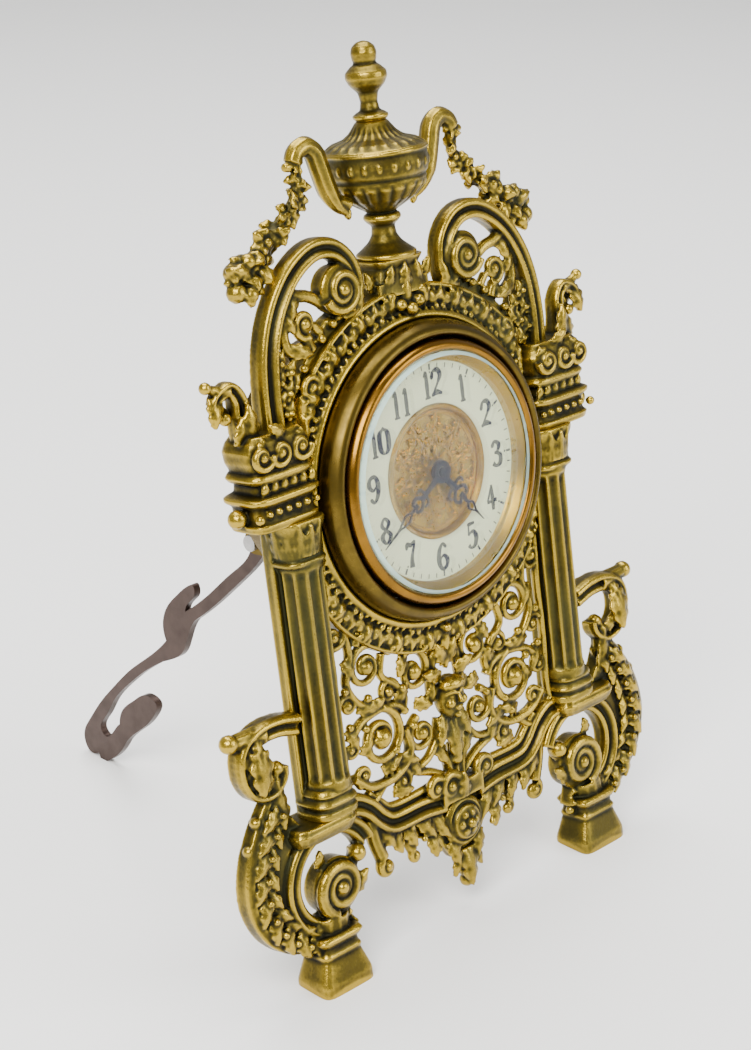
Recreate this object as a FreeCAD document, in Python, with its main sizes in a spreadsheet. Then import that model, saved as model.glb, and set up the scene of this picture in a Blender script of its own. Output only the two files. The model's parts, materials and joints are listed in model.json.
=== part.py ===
import FreeCAD, Part
import Sketcher
import math
import os

from FreeCAD import Placement, Rotation, Vector

# Easel mantel clock: a cast brass front that leans back on a hinged strut, with a round
# clock head. Every piece but the strut is drawn in the clock's own frame, whose origin is
# the middle of the dial: X to the right, Y up the front casting, Z out of the dial.
# The whole clock is then leaned back and stood on its feet. Lengths are in millimetres.

os.makedirs("parts", exist_ok=True)
doc = FreeCAD.newDocument("MantelClock")

DIMENSIONS = [
    # alias, value, what it is
    ("leanAngle", 9.3, "lean of the front casting, degrees back from upright"),
    ("centreHeight", 176.0, "dial centre above the feet, along the casting"),
    ("castBack", -6.0, "back face of the castings"),
    ("castFront", 4.0, "front face of the dial surround"),
    ("bayHalf", 56.5, "half the width between the columns"),
    ("surroundRadius", 69.0, "outside of the dial surround"),
    ("fit", 0.05, "clearance between pieces that seat in each other"),
    ("running", 0.05, "radial clearance of a turning fit"),
    ("columnInset", 8.4, "column axis from the edge of the bay"),
    ("shaftRadius", 8.0, "column shaft"),
    ("fluteRadius", 1.1, "flute of a column shaft"),
    ("columnWidth", 19.5, "capital and base block across"),
    ("columnDepth", 15.0, "capital and base block, back to front"),
    ("columnTop", 0.0, "top of the capital"),
    ("capitalHeight", 14.7, "capital"),
    ("columnBaseHeight", 10.1, "column base mouldings"),
    ("entablature", 12.0, "height of the block over a column"),
    ("archInset", 11.0, "centre of a top arch inside the edge of the bay"),
    ("archV", 66.0, "centre of a top arch above the dial centre"),
    ("archRadius", 27.8, "outside of a top arch"),
    ("archBand", 9.0, "width of the arch moulding"),
    ("archBottom", 33.0, "foot of a top arch"),
    ("scrollOutset", 12.5, "centre of a base scroll outside the edge of the bay"),
    ("scrollHeight", 40.4, "centre of a base scroll above the feet, along the casting"),
    ("scrollRadius", 23.3, "outside of a base scroll"),
    ("scrollBand", 7.5, "width of the base scroll moulding"),
    ("footWidth", 25.0, "foot across at the floor"),
    ("footDepth", 18.0, "foot, back to front"),
    ("apronTop", 54.0, "top of the apron above the feet"),
    ("apronHeight", 10.0, "apron band"),
    ("cartoucheRadius", 11.0, "shield in the middle of the apron"),
    ("pendantTip", 10.0, "tip of the pendant above the feet"),
    ("urnAxis", -4.9, "urn axis behind the dial centre plane"),
    ("plinthHeight", 10.1, "urn plinth above the dial surround"),
    ("plinthHalf", 12.0, "half the width of the urn plinth"),
    ("bowlRadius", 19.1, "urn bowl"),
    ("bowlHeight", 38.7, "urn bowl and stem, plinth to rim"),
    ("lidHeight", 10.2, "urn lid"),
    ("finialBall", 4.45, "ball on top of the finial"),
    ("handleRadius", 9.0, "bend of an urn handle"),
    ("handleThick", 2.2, "half the thickness of an urn handle"),
    ("drumRadius", 48.0, "outside of the case drum"),
    ("drumWall", 1.2, "wall of the case drum"),
    ("drumDepth", 47.5, "drum behind the dial centre plane"),
    ("drumLip", 8.0, "front edge of the drum"),
    ("coverThick", 2.0, "back cover"),
    ("bezelRadius", 55.6, "outside of the bezel ring"),
    ("bezelFront", 13.3, "front edge of the bezel ring"),
    ("glassBezelRadius", 49.0, "outside of the glass bezel"),
    ("glassRadius", 44.45, "dial glass"),
    ("glassBack", 12.6, "back face of the glass"),
    ("glassThick", 2.8, "dial glass"),
    ("glassBevel", 3.2, "width of the glass bevel"),
    ("sightRadius", 39.4, "inner edge of the sight ring"),
    ("dialPlateFront", 6.4, "front of the plate that carries the dial"),
    ("dialPlateThick", 1.0, "plate that carries the dial"),
    ("dialThick", 2.0, "enamelled chapter ring"),
    ("dialRadius", 42.5, "outside of the chapter ring"),
    ("dialBore", 23.6, "inside of the chapter ring"),
    ("plateRadius", 46.5, "movement plates"),
    ("plateThick", 1.8, "movement plates"),
    ("frontPlate", -10.0, "back face of the front movement plate"),
    ("plateGap", 26.2, "space between the movement plates"),
    ("pillarRadius", 2.5, "movement pillar"),
    ("pillarCircle", 38.0, "pillars and case screws from the dial centre"),
    ("arborRadius", 1.0, "centre arbor"),
    ("pinionArbor", 0.8, "train arbors"),
    ("pivotRadius", 0.5, "train pivots"),
    ("motionModule", 0.5, "cannon pinion and minute wheel teeth"),
    ("hourModule", 0.48, "minute pinion and hour wheel teeth"),
    ("minuteHand", 38.5, "minute hand, centre to tip"),
    ("hourHand", 31.5, "hour hand, centre to tip"),
    ("handThick", 0.6, "hands"),
    ("minuteAngle", 237.9, "minute hand clockwise from 12, degrees"),
    ("hourAngle", 139.3, "hour hand clockwise from 12, degrees"),
    ("strutX", -24.0, "middle of the strut from the middle of the clock"),
    ("strutThick", 3.2, "strut bar"),
    ("hingeV", -28.6, "hinge pin below the dial centre"),
    ("hingeW", -66.5, "hinge pin behind the dial centre plane"),
    ("pinRadius", 1.6, "hinge pin"),
]


class Size:
    """A length with its value and the sheet expression that gives it."""

    def __init__(self, value, text):
        self.value = float(value)
        self.text = text

    def join(self, other, sign, result):
        text = other.text if isinstance(other, Size) else repr(float(other))
        return Size(result, "(%s %s %s)" % (self.text, sign, text))

    def __float__(self):
        return self.value

    def __add__(self, other):
        return self.join(other, "+", self.value + float(other))

    def __sub__(self, other):
        return self.join(other, "-", self.value - float(other))

    def __mul__(self, other):
        return self.join(other, "*", self.value * float(other))

    def __neg__(self):
        return self * -1.0


class Sheet:
    """The driving dimensions, each a Size under its alias."""


def makeSheet():
    cells = doc.addObject("Spreadsheet::Sheet", "Sizes")
    sizes = Sheet()
    for row, (alias, value, note) in enumerate(DIMENSIONS, 1):
        cells.set("A%d" % row, note)
        cells.set("B%d" % row, str(value))
        cells.setAlias("B%d" % row, alias)
        setattr(sizes, alias, Size(value, "Sizes." + alias))
    doc.recompute()
    return sizes


s = makeSheet()

# ---------------------------------------------------------------- frame of the clock

lean = math.radians(float(s.leanAngle))
clockFrame = Placement(
    Vector(0, float(s.centreHeight) * math.sin(lean), float(s.centreHeight) * math.cos(lean)),
    Rotation(Vector(1, 0, 0), 90 - float(s.leanAngle)),
)
ALONG = {
    "w": Rotation(),
    "v": Rotation(Vector(1, 0, 0), -90),
    "x": Rotation(Vector(0, 1, 0), 90),
}
subParts = []


def bind(obj, name, size):
    """Sets a property, and keeps it tied to the sheet where the size comes from there."""
    if isinstance(size, Size):
        setattr(obj, name, size.value)
        obj.setExpression(name, size.text)
    else:
        setattr(obj, name, size)


def spot(x, v, w, rotation=Rotation()):
    return Placement(Vector(float(x), float(v), float(w)), rotation)


def keep(obj, label, placement=None):
    """Makes an object a sub-part of the clock, placed in the leaned frame."""
    obj.Label = label
    obj.Placement = clockFrame.multiply(placement or obj.Placement)
    subParts.append(obj)
    return obj


# ---------------------------------------------------------------- simple solids

def rod(radius, length, x, v, w, along="w", start=0.0, sweep=360.0):
    """A cylinder, or a slice of one, from its start point along an axis."""
    solid = doc.addObject("Part::Cylinder", "Rod")
    bind(solid, "Radius", radius)
    bind(solid, "Height", length)
    solid.Angle = sweep
    solid.Placement = spot(x, v, w, ALONG[along].multiply(Rotation(Vector(0, 0, 1), start)))
    return solid


def block(width, rise, depth, x, v, w, turn=0.0):
    """A box: centred on x, from v upwards and from w forwards, turned about its foot."""
    solid = doc.addObject("Part::Box", "Block")
    bind(solid, "Length", width)
    bind(solid, "Width", rise)
    bind(solid, "Height", depth)
    half = Placement(Vector(-float(width) / 2, 0, 0), Rotation())
    solid.Placement = spot(x, v, w, Rotation(Vector(0, 0, 1), turn)).multiply(half)
    return solid


def ball(radius, x, v, w):
    solid = doc.addObject("Part::Sphere", "Ball")
    bind(solid, "Radius", radius)
    solid.Placement = spot(x, v, w, Rotation(Vector(1, 1, 0), 40))
    return solid


def taper(foot, top, length, x, v, w, along="v", turn=0.0):
    """A cone frustum along an axis, turned about the view out of the dial."""
    solid = doc.addObject("Part::Cone", "Taper")
    bind(solid, "Radius1", foot)
    bind(solid, "Radius2", top)
    bind(solid, "Height", length)
    solid.Placement = spot(x, v, w, Rotation(Vector(0, 0, 1), turn).multiply(ALONG[along]))
    return solid


def hoop(bend, thick, x, v, w, start=0.0, sweep=360.0):
    """A round bar bent about the view out of the dial."""
    solid = doc.addObject("Part::Torus", "Hoop")
    bind(solid, "Radius1", bend)
    bind(solid, "Radius2", thick)
    solid.Angle3 = sweep
    solid.Placement = spot(x, v, w, Rotation(Vector(0, 0, 1), start))
    return solid


def fuse(solids):
    if len(solids) == 1:
        return solids[0]
    joined = doc.addObject("Part::MultiFuse", "Joined")
    joined.Shapes = solids
    return joined


def cut(base, tools):
    result = doc.addObject("Part::Cut", "Cut")
    result.Base = base
    result.Tool = fuse(tools)
    return result


def meet(first, second):
    result = doc.addObject("Part::Common", "Meet")
    result.Base = first
    result.Tool = second
    return result


def ring(outer, inner, depth, x, v, w, start=0.0, sweep=360.0):
    """A flat ring, or an arc of one, seen face on from the front."""
    disc = rod(outer, depth, x, v, w, "w", start, sweep)
    hole = rod(inner, depth * 3.0, x, v, float(w) - float(depth))
    return cut(disc, [hole])


def mirrored(side, start, sweep):
    """The start angle of an arc on the right or, mirrored, on the left."""
    return start if side > 0 else 180.0 - start - sweep


# ---------------------------------------------------------------- sketched bodies

def originPlane(body, role):
    return [f for f in body.Origin.OriginFeatures if f.Role == role][0]


def pinPoint(sketch, line, x, y):
    """Holds the start point of a line, to the sheet where the size comes from there."""
    for kind, axis, size in (("DistanceX", -2, x), ("DistanceY", -1, y)):
        if abs(float(size)) < 1e-9:
            sketch.addConstraint(Sketcher.Constraint("PointOnObject", line, 1, axis))
            continue
        index = sketch.addConstraint(Sketcher.Constraint(kind, -1, 1, line, 1, float(size)))
        if isinstance(size, Size):
            sketch.setExpression("Constraints[%d]" % index, size.text)


def outline(body, role, points):
    """A closed outline of straight lines through the points."""
    sketch = body.newObject("Sketcher::SketchObject", "Outline")
    sketch.AttachmentSupport = [(originPlane(body, role), "")]
    sketch.MapMode = "FlatFace"
    flat = [Vector(float(x), float(y), 0) for x, y in points]
    count = len(flat)
    for k in range(count):
        sketch.addGeometry(Part.LineSegment(flat[k], flat[(k + 1) % count]), False)
    for k in range(count):
        sketch.addConstraint(Sketcher.Constraint("Coincident", k, 2, (k + 1) % count, 1))
    for k, (x, y) in enumerate(points):
        pinPoint(sketch, k, x, y)
    return sketch


def turned(label, profile, x=0.0, v=0.0, w=0.0, along="w"):
    """A body turned on a lathe: profile is (radius, height) round a closed outline."""
    body = doc.addObject("PartDesign::Body", "Turned")
    sketch = outline(body, "XZ_Plane", profile)
    spun = body.newObject("PartDesign::Revolution", "Spun")
    spun.Profile = sketch
    spun.ReferenceAxis = (sketch, ["V_Axis"])
    spun.Angle = 360.0
    body.Tip = spun
    return keep(body, label, spot(x, v, w, ALONG[along])) if label else body


def discBody(label, radius, bores, thick, w, holes=(), count=1):
    """A padded disc with round holes, and a ring of holes spaced evenly round it."""
    body = doc.addObject("PartDesign::Body", "Disc")
    face = body.newObject("Sketcher::SketchObject", "Face")
    face.AttachmentSupport = [(originPlane(body, "XY_Plane"), "")]
    face.MapMode = "FlatFace"
    circles = [(0.0, 0.0, radius)] + list(bores)
    for k, (cx, cy, size) in enumerate(circles):
        centre = Vector(float(cx), float(cy), 0)
        face.addGeometry(Part.Circle(centre, Vector(0, 0, 1), float(size)), False)
        index = face.addConstraint(Sketcher.Constraint("Radius", k, float(size)))
        if isinstance(size, Size):
            face.setExpression("Constraints[%d]" % index, size.text)
        if abs(float(cx)) + abs(float(cy)) < 1e-9:
            face.addConstraint(Sketcher.Constraint("Coincident", k, 3, -1, 1))
        else:
            face.addConstraint(Sketcher.Constraint("DistanceX", -1, 1, k, 3, float(cx)))
            face.addConstraint(Sketcher.Constraint("DistanceY", -1, 1, k, 3, float(cy)))
    pad = body.newObject("PartDesign::Pad", "Thickness")
    pad.Profile = face
    bind(pad, "Length", thick)
    body.Tip = pad
    for away, size in holes:
        spotFace = body.newObject("Sketcher::SketchObject", "HoleSpot")
        spotFace.AttachmentSupport = [(originPlane(body, "XY_Plane"), "")]
        spotFace.MapMode = "FlatFace"
        spotFace.addGeometry(Part.Circle(Vector(float(away), 0, 0), Vector(0, 0, 1), float(size)), False)
        spotFace.addConstraint(Sketcher.Constraint("Radius", 0, float(size)))
        spotFace.addConstraint(Sketcher.Constraint("DistanceX", -1, 1, 0, 3, float(away)))
        spotFace.addConstraint(Sketcher.Constraint("PointOnObject", 0, 3, -1))
        pocket = body.newObject("PartDesign::Pocket", "Drilled")
        pocket.Profile = spotFace
        pocket.Type = "ThroughAll"
        pocket.Reversed = True
        pattern = body.newObject("PartDesign::PolarPattern", "Round")
        pattern.Originals = [pocket]
        pattern.Axis = (spotFace, ["N_Axis"])
        pattern.Angle = 360.0
        pattern.Occurrences = count
        body.Tip = pattern
    return keep(body, label, spot(0, 0, w))


# ---------------------------------------------------------------- front castings

caseBore = s.drumRadius + s.fit
columnX = s.bayHalf + s.columnInset
archX = s.bayHalf - s.archInset
scrollX = s.bayHalf + s.scrollOutset
floorV = s.centreHeight * -1.0
scrollV = floorV + s.scrollHeight
seatTop = scrollV + s.scrollRadius + 1.3
shaftFoot = seatTop + s.columnBaseHeight
shaftLength = s.columnTop - s.capitalHeight - shaftFoot
apronTopV = floorV + s.apronTop
plinthTop = s.surroundRadius + s.plinthHeight
bowlRim = plinthTop + s.bowlHeight
castDepth = s.castFront - s.castBack


def dialSurround():
    disc = rod(s.surroundRadius, castDepth, 0, 0, s.castBack)
    bay = block(s.bayHalf * 2.0, s.surroundRadius * 3.0, castDepth, 0, -s.surroundRadius * 1.5, s.castBack)
    rim = hoop(s.surroundRadius - 3.0, 1.6, 0, 0, s.castFront)
    rimBay = block(s.bayHalf * 2.0, s.surroundRadius * 3.0, castDepth, 0, -s.surroundRadius * 1.5, s.castFront - 3)
    bore = rod(caseBore, castDepth * 3.0, 0, 0, s.castBack - castDepth)
    keep(cut(fuse([meet(disc, bay), meet(rim, rimBay)]), [bore]), "dial_surround")


def column(side, name):
    x = float(columnX) * side
    blockX = side * (float(s.bayHalf) + float(s.columnWidth) / 2)
    shaft = rod(s.shaftRadius, shaftLength, x, shaftFoot, 1.0, "v")
    flutes = []
    fluteCount = 12
    for k in range(fluteCount):
        angle = 2 * math.pi * k / fluteCount
        fx = x + float(s.shaftRadius) * math.cos(angle)
        fw = 1.0 + float(s.shaftRadius) * math.sin(angle)
        flutes.append(rod(s.fluteRadius, shaftLength - 6.0, fx, shaftFoot + 3.0, fw, "v"))
    pilaster = block(s.columnWidth - 1.0, shaftLength, 5.0, blockX, shaftFoot, s.castBack)
    foot = block(s.columnWidth, s.columnBaseHeight * 0.6, s.columnDepth + 2.0, blockX, seatTop, s.castBack)
    step = block(s.columnWidth - 1.5, s.columnBaseHeight * 0.4, s.columnDepth, blockX,
                 seatTop + s.columnBaseHeight * 0.6, s.castBack)
    bell = block(s.columnWidth - 1.5, s.capitalHeight - 2.0, s.columnDepth - 1.0, blockX,
                 s.columnTop - s.capitalHeight, s.castBack)
    abacus = block(s.columnWidth, 2.0, s.columnDepth + 2.0, blockX, s.columnTop - 2.0, s.castBack)
    keep(fuse([cut(shaft, flutes), pilaster, foot, step, bell, abacus]), name + "_column")


def shoulder(side, name):
    blockX = side * (float(s.bayHalf) + float(s.columnWidth) / 2)
    outer = float(s.bayHalf) + float(s.columnWidth)
    slab = block(s.columnWidth, s.entablature, s.columnDepth + 1.0, blockX, s.columnTop, s.castBack)
    arm = block(13.0, 4.0, 6.0, side * (outer + 6.0), 3.5, -3.0)
    pip = ball(3.6, side * (outer + 13.5), 5.5, 0.0)
    drum = rod(9.6, castDepth + 2.0, side * (float(s.bayHalf) + 9.6), 21.5, s.castBack)
    neck = block(15.0, s.archBottom - 20.0, castDepth, side * 67.0, 20.0, s.castBack)
    ear = ring(11.0, 6.5, 7.0, side * 84.5, 40.0, -3.5, mirrored(side, 20.0, 230.0), 230.0)
    tip = ball(3.6, side * 92.0, 48.0, 0.0)
    tie = block(14.0, 5.0, 7.0, side * 73.0, 28.0, -3.5)
    keep(fuse([slab, arm, pip, drum, neck, ear, tip, tie]), name + "_shoulder")


def topArch(side, name):
    inner = s.archRadius - s.archBand
    x = float(archX) * side
    legX = side * (float(archX) + float(s.archRadius) - float(s.archBand) / 2)
    leg = block(s.archBand, s.archV - s.archBottom, castDepth, legX, s.archBottom, s.castBack + 1.0)
    bend = ring(s.archRadius, inner, castDepth, x, s.archV, s.castBack + 1.0, mirrored(side, 0.0, 200.0), 200.0)
    volute = ring(9.0, 3.5, castDepth, side * 31.5, 73.8, s.castBack + 1.0)
    curl = ring(5.3, 2.6, 6.0, side * 49.0, 65.3, -4.0)
    stem = block(3.0, 26.0, 5.0, side * 49.0, 35.0, -4.0, 0.0)
    branch = block(3.0, 19.0, 5.0, side * 49.0, 48.0, -4.0, side * -62.0)
    surroundEdge = rod(s.surroundRadius + 0.02, castDepth * 3.0, 0, 0, s.castBack - castDepth)
    foot = block(8.0, 18.0, 6.0, side * 33.0, 55.0, -4.0, side * 20.0)
    keep(cut(fuse([leg, bend, volute, curl, stem, branch, foot]), [surroundEdge]), name + "_top_arch")


def garland(side, name):
    bendX = side * (float(s.bowlRadius) + float(s.handleRadius) + float(s.handleThick) + 0.3)
    bendV = bowlRim - 3.5
    handle = hoop(s.handleRadius, s.handleThick, bendX, bendV, s.urnAxis, 0.0, 180.0)
    root = taper(2.0, 0.8, 16.0, bendX - side * float(s.handleRadius), bendV + 1.0, s.urnAxis, "v", 180.0)
    endX = abs(bendX) + float(s.handleRadius)
    first = Vector(endX, float(bendV), 0)
    last = Vector(float(archX) + 22.0, float(s.archV) + 21.0, 0)
    beads = [ball(2.9, side * endX, float(bendV) + 0.5, s.urnAxis)]
    beadCount = 11
    for k in range(1, beadCount):
        share = k / (beadCount - 1.0)
        at = first + (last - first) * share
        sag = 3.5 * math.sin(math.pi * share)
        beads.append(ball(2.8 + 2.6 * share, side * at.x, at.y - sag, s.urnAxis))
    archEdge = rod(s.archRadius + 0.02, castDepth * 3.0, side * float(archX), s.archV, s.castBack - castDepth)
    keep(cut(fuse([handle, root] + beads), [archEdge]), name + "_handle_garland")


def urn():
    plinthFoot = s.surroundRadius - 3.0
    body = block(s.plinthHalf * 2.0, plinthTop - plinthFoot, 18.0, 0, plinthFoot, s.urnAxis - 9.0)
    edge = rod(s.surroundRadius + 0.02, 60.0, 0, 0, -30.0)
    keep(cut(body, [edge]), "urn_plinth")
    rim = bowlRim - plinthTop
    turned("urn_body", [
        (0, 0), (9.8, 0), (9.8, 2.0), (4.2, 6.5), (4.0, 11.0), (6.7, 13.2), (4.2, 15.6),
        (6.5, 17.0), (13.5, 22.5), (s.bowlRadius - 1.5, 28.5), (s.bowlRadius, 33.5),
        (s.bowlRadius, 37.0), (s.bowlRadius - 1.0, rim), (0, rim),
    ], 0, plinthTop, s.urnAxis, "v")
    turned("urn_lid", [
        (0, 0), (s.bowlRadius - 2.5, 0), (s.bowlRadius - 2.5, 1.8), (15.0, 4.0),
        (9.5, 7.0), (5.0, s.lidHeight), (0, s.lidHeight),
    ], 0, bowlRim, s.urnAxis, "v")
    turned("urn_finial", [
        (0, 0), (4.0, 0), (6.0, 1.6), (6.0, 3.0), (3.6, 4.5), (3.6, 8.5), (5.2, 10.0),
        (7.3, 15.5), (5.8, 19.0), (3.0, 20.5), (s.finialBall, 22.8), (s.finialBall, 24.6),
        (2.6, 27.4), (0, 27.8),
    ], 0, bowlRim + s.lidHeight, s.urnAxis, "v")


def baseScroll(side, name):
    x = float(scrollX) * side
    v = scrollV
    depth = castDepth + 2.0
    hoopRing = ring(s.scrollRadius, s.scrollRadius - s.scrollBand, depth, x, v, s.castBack)
    volute = ring(9.0, 4.2, depth - 2.0, x - side * 1.5, v - 3.9, s.castBack + 1.0)
    voluteTie = block(5.0, 9.0, depth - 2.0, x - side * 6.0, v - 18.4, s.castBack + 1.0, side * -20.0)
    leafX = x + side * 1.0
    leafV = float(v) + 10.6
    leaf = ring(37.0, 27.5, 8.0, leafX, leafV, -4.0, mirrored(side, -60.0, 118.0), 118.0)
    pips = []
    for angle in (-42.0, -24.0, -7.0, 10.0, 27.0, 44.0):
        turn = math.radians(angle)
        pips.append(ball(2.4, leafX + side * 38.0 * math.cos(turn), leafV + 38.0 * math.sin(turn), 0.0))
    seat = block(32.0, 6.0, depth, x + side * 3.5, seatTop - 6.0, s.castBack)
    earX = x + side * 29.5
    ear = ring(12.0, 6.5, 7.0, earX, seatTop + 30.5, -3.5, mirrored(side, 0.0, 250.0), 250.0)
    earTip = ball(3.8, earX + side * 9.0, seatTop + 38.5, 0.0)
    earTie = block(8.0, 14.0, 7.0, earX - side * 10.0, seatTop + 13.0, -3.5)
    footX = x + side * 3.6
    ankle = block(15.0, s.scrollHeight - s.scrollRadius - 11.0, 14.0, footX, floorV + 14.0, -7.0)
    spread = s.footWidth - 6.0
    footTop = block(spread, 6.0, s.footDepth - 3.0, footX, floorV + 8.0, -7.5)
    footBase = block(s.footWidth, 12.0, s.footDepth, footX, floorV - 4.0, -9.0)
    floor = block(400.0, 40.0, 200.0, 0, 0, 0)
    slope = Rotation(Vector(1, 0, 0), float(s.leanAngle) - 90).multiply(Rotation(Vector(1, 0, 0), 90))
    floor.Placement = Placement(Vector(0, -float(s.centreHeight), 0), slope).multiply(spot(-200, -40, -100))
    body = fuse([hoopRing, volute, voluteTie, leaf] + pips + [seat, ear, earTip, earTie, ankle, footTop, footBase])
    keep(cut(body, [floor]), name + "_base_scroll")


def apronWing(side, growth=0.0):
    """The sloping end of the apron, from its middle band up to a column base."""
    foot = apronTopV - s.apronHeight + 4.5
    back = s.castBack + 0.5 - growth
    wingX = side * (float(s.bayHalf) - 22.5)
    return block(s.apronHeight + growth * 2.0, 24.0, castDepth - 1.0 + growth * 2.0, wingX, foot, back, side * -58.0)


def baseApron():
    depth = castDepth - 1.0
    back = s.castBack + 0.5
    under = apronTopV - s.apronHeight
    solids = [block(s.bayHalf + 21.5, s.apronHeight, depth, 0, under, back)]
    cutters = []
    for side in (1, -1):
        wingX = side * (float(s.bayHalf) - 22.5)
        solids.append(apronWing(side))
        solids.append(block(2.4, 17.0, 5.0, wingX + side * 7.5, under - 10.0, -2.5))
        solids.append(ball(4.0, wingX + side * 7.5, under - 12.0, 0.0))
        solids.append(block(2.0, 13.0, 5.0, wingX - side * 8.2, under - 12.0, -2.5))
        solids.append(ball(2.7, wingX - side * 8.2, under - 13.5, 0.0))
        cutters.append(rod(s.scrollRadius + 0.02, 60.0, side * float(scrollX), scrollV, -30.0))
        cutters.append(block(80.0, 80.0, 60.0, side * (float(s.bayHalf) + 40.0), under, -30.0))
    shieldV = under - 10.0
    solids.append(rod(s.cartoucheRadius, castDepth + 2.0, 0, shieldV, s.castBack))
    solids.append(block(10.0, 14.0, depth, 0, shieldV, back))
    pendantTop = shieldV - 8.0
    pendant = pendantTop - floorV - s.pendantTip
    solids.append(taper(5.0, 1.4, pendant, 0, pendantTop, 0, "v", 180.0))
    keep(cut(fuse(solids), cutters), "base_apron")


def scrollPanel():
    back = -4.0
    thick = 6.0
    fall = -float(s.surroundRadius) - float(apronTopV)
    # (in from the edge of the bay, share of the way down to the apron, radius)
    scrolls = [(9.7, -0.13, 9.7), (25.5, 0.02, 9.5), (18.5, 0.42, 13.0), (10.5, 0.72, 8.0),
               (38.5, 0.72, 9.5), (39.5, 0.32, 9.0)]
    middle = fall - 2.0
    solids = [block(18.0, middle, thick, 0, apronTopV, back), block(8.0, fall + 4.0, thick, 0, apronTopV, back)]
    for side in (1, -1):
        stemX = side * (float(s.bayHalf) - 18.5)
        solids.append(block(2.5, fall + 20.0, thick - 2.0, stemX, apronTopV, back + 1.0))
        for inset, share, radius in scrolls:
            x = side * (float(s.bayHalf) - inset)
            v = -float(s.surroundRadius) - share * fall
            solids.append(ring(radius, radius - 3.2, thick, x, v, back))
    edge = rod(s.surroundRadius + 0.02, 60.0, 0, 0, -30.0)
    keep(cut(fuse(solids), [edge, apronWing(1, 0.02), apronWing(-1, 0.02)]), "scroll_panel")


# ---------------------------------------------------------------- clock head

def clockHead():
    bore = s.drumRadius + s.fit
    mouth = s.glassBezelRadius + s.fit
    turned("bezel_ring", [
        (bore, s.castFront), (s.bezelRadius, s.castFront), (s.bezelRadius, s.castFront + 2.5),
        (s.bezelRadius - 3.0, s.castFront + 4.5), (50.6, s.bezelFront), (mouth, s.bezelFront),
        (mouth, s.drumLip), (bore, s.drumLip),
    ])
    inside = s.drumRadius - s.drumWall
    shell = rod(s.drumRadius, s.drumDepth + s.drumLip, 0, 0, -s.drumDepth)
    hollow = rod(inside, (s.drumDepth + s.drumLip) * 2.0, 0, 0, -s.drumDepth - 10.0)
    lugs = []
    for k in range(3):
        turn = math.radians(90 + 120 * k)
        reach = float(inside) - 1.2
        lugs.append(rod(2.6, 4.0, reach * math.cos(turn), reach * math.sin(turn), s.frontPlate - 4.0))
    fitted = [meet(lug, rod(inside + 0.5, 20.0, 0, 0, -25.0)) for lug in lugs]
    keep(fuse([cut(shell, [hollow])] + fitted), "case_drum")
    glassBack = s.glassBack
    seat = s.glassRadius + s.fit
    glassFront = glassBack + s.glassThick
    skirt = inside - s.fit
    turned("glass_bezel", [
        (skirt - 1.2, s.dialPlateFront), (skirt, s.dialPlateFront), (skirt, s.drumLip),
        (s.glassBezelRadius, s.drumLip), (s.glassBezelRadius, glassFront - 0.8),
        (seat + 0.6, glassFront - 0.2), (seat, glassFront - 0.8), (seat, glassBack),
        (43.0, glassBack), (43.0, glassBack - 1.5), (skirt - 1.2, glassBack - 3.0),
    ])
    turned("dial_glass", [
        (0, glassBack), (s.glassRadius, glassBack), (s.glassRadius, glassBack + 1.2),
        (s.glassRadius - s.glassBevel, glassFront), (0, glassFront),
    ])
    dialFront = s.dialPlateFront + s.dialThick
    turned("sight_ring", [
        (s.sightRadius, dialFront), (42.4, dialFront), (42.4, glassBack - 1.6),
        (41.8, glassBack - 1.6), (s.sightRadius, dialFront + 0.7),
    ])
    turned("dial_ring", [
        (s.dialBore, s.dialPlateFront), (s.dialRadius, s.dialPlateFront), (s.dialRadius, dialFront),
        (s.dialBore, dialFront),
    ])
    turned("dial_centre_rim", [
        (22.5, s.dialPlateFront), (s.dialBore - s.fit, s.dialPlateFront), (s.dialBore - s.fit, dialFront),
        (25.0, dialFront), (24.6, dialFront + 0.7), (22.5, dialFront + 0.7),
    ])
    discBody("dial_centre", 22.45, [(0, 0, 3.2)], 0.8, s.dialPlateFront,
             [(18.6, 1.7), (13.4, 2.0), (8.2, 1.5)], 10)
    plateBack = s.dialPlateFront - s.dialPlateThick
    disc = rod(45.3, s.dialPlateThick, 0, 0, plateBack)
    feet = []
    for k in range(3):
        turn = math.radians(30 + 120 * k)
        frontFace = s.frontPlate + s.plateThick
        feet.append(rod(1.4, plateBack - frontFace, 30 * math.cos(turn), 30 * math.sin(turn), frontFace))
    keep(fuse([cut(disc, [rod(3.2, 5.0, 0, 0, plateBack - 2.0)])] + feet), "dial_plate")


# ---------------------------------------------------------------- movement

centre = Vector(0, 0, 0)


def polar(origin, distance, degrees):
    turn = math.radians(degrees)
    return origin + Vector(distance * math.cos(turn), distance * math.sin(turn), 0)


WHEELS = {
    # wheel teeth, pinion leaves and tooth module of each pair in the going train
    "great": (64, 8, 0.6),
    "centre": (60, 8, 0.45),
    "third": (64, 8, 0.4),
    "fourth": (64, 8, 0.35),
}


def reachOf(pair):
    teeth, leaves, module = WHEELS[pair]
    return (teeth + leaves) * module / 2


greatAt = polar(centre, reachOf("great"), -35)
thirdAt = polar(centre, reachOf("centre"), 100)
fourthAt = polar(thirdAt, reachOf("third"), 160)
escapeAt = polar(fourthAt, reachOf("fourth"), -120)
balanceAt = polar(escapeAt, 23.0, -103)
leverAt = polar(escapeAt, 11.0, -103)
minuteTeeth, cannonTeeth = 36, 12
hourTeeth, minuteLeaves = 40, 10
minuteReach = (minuteTeeth + cannonTeeth) * float(s.motionModule) / 2
minuteAt = polar(centre, minuteReach, 60)

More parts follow.
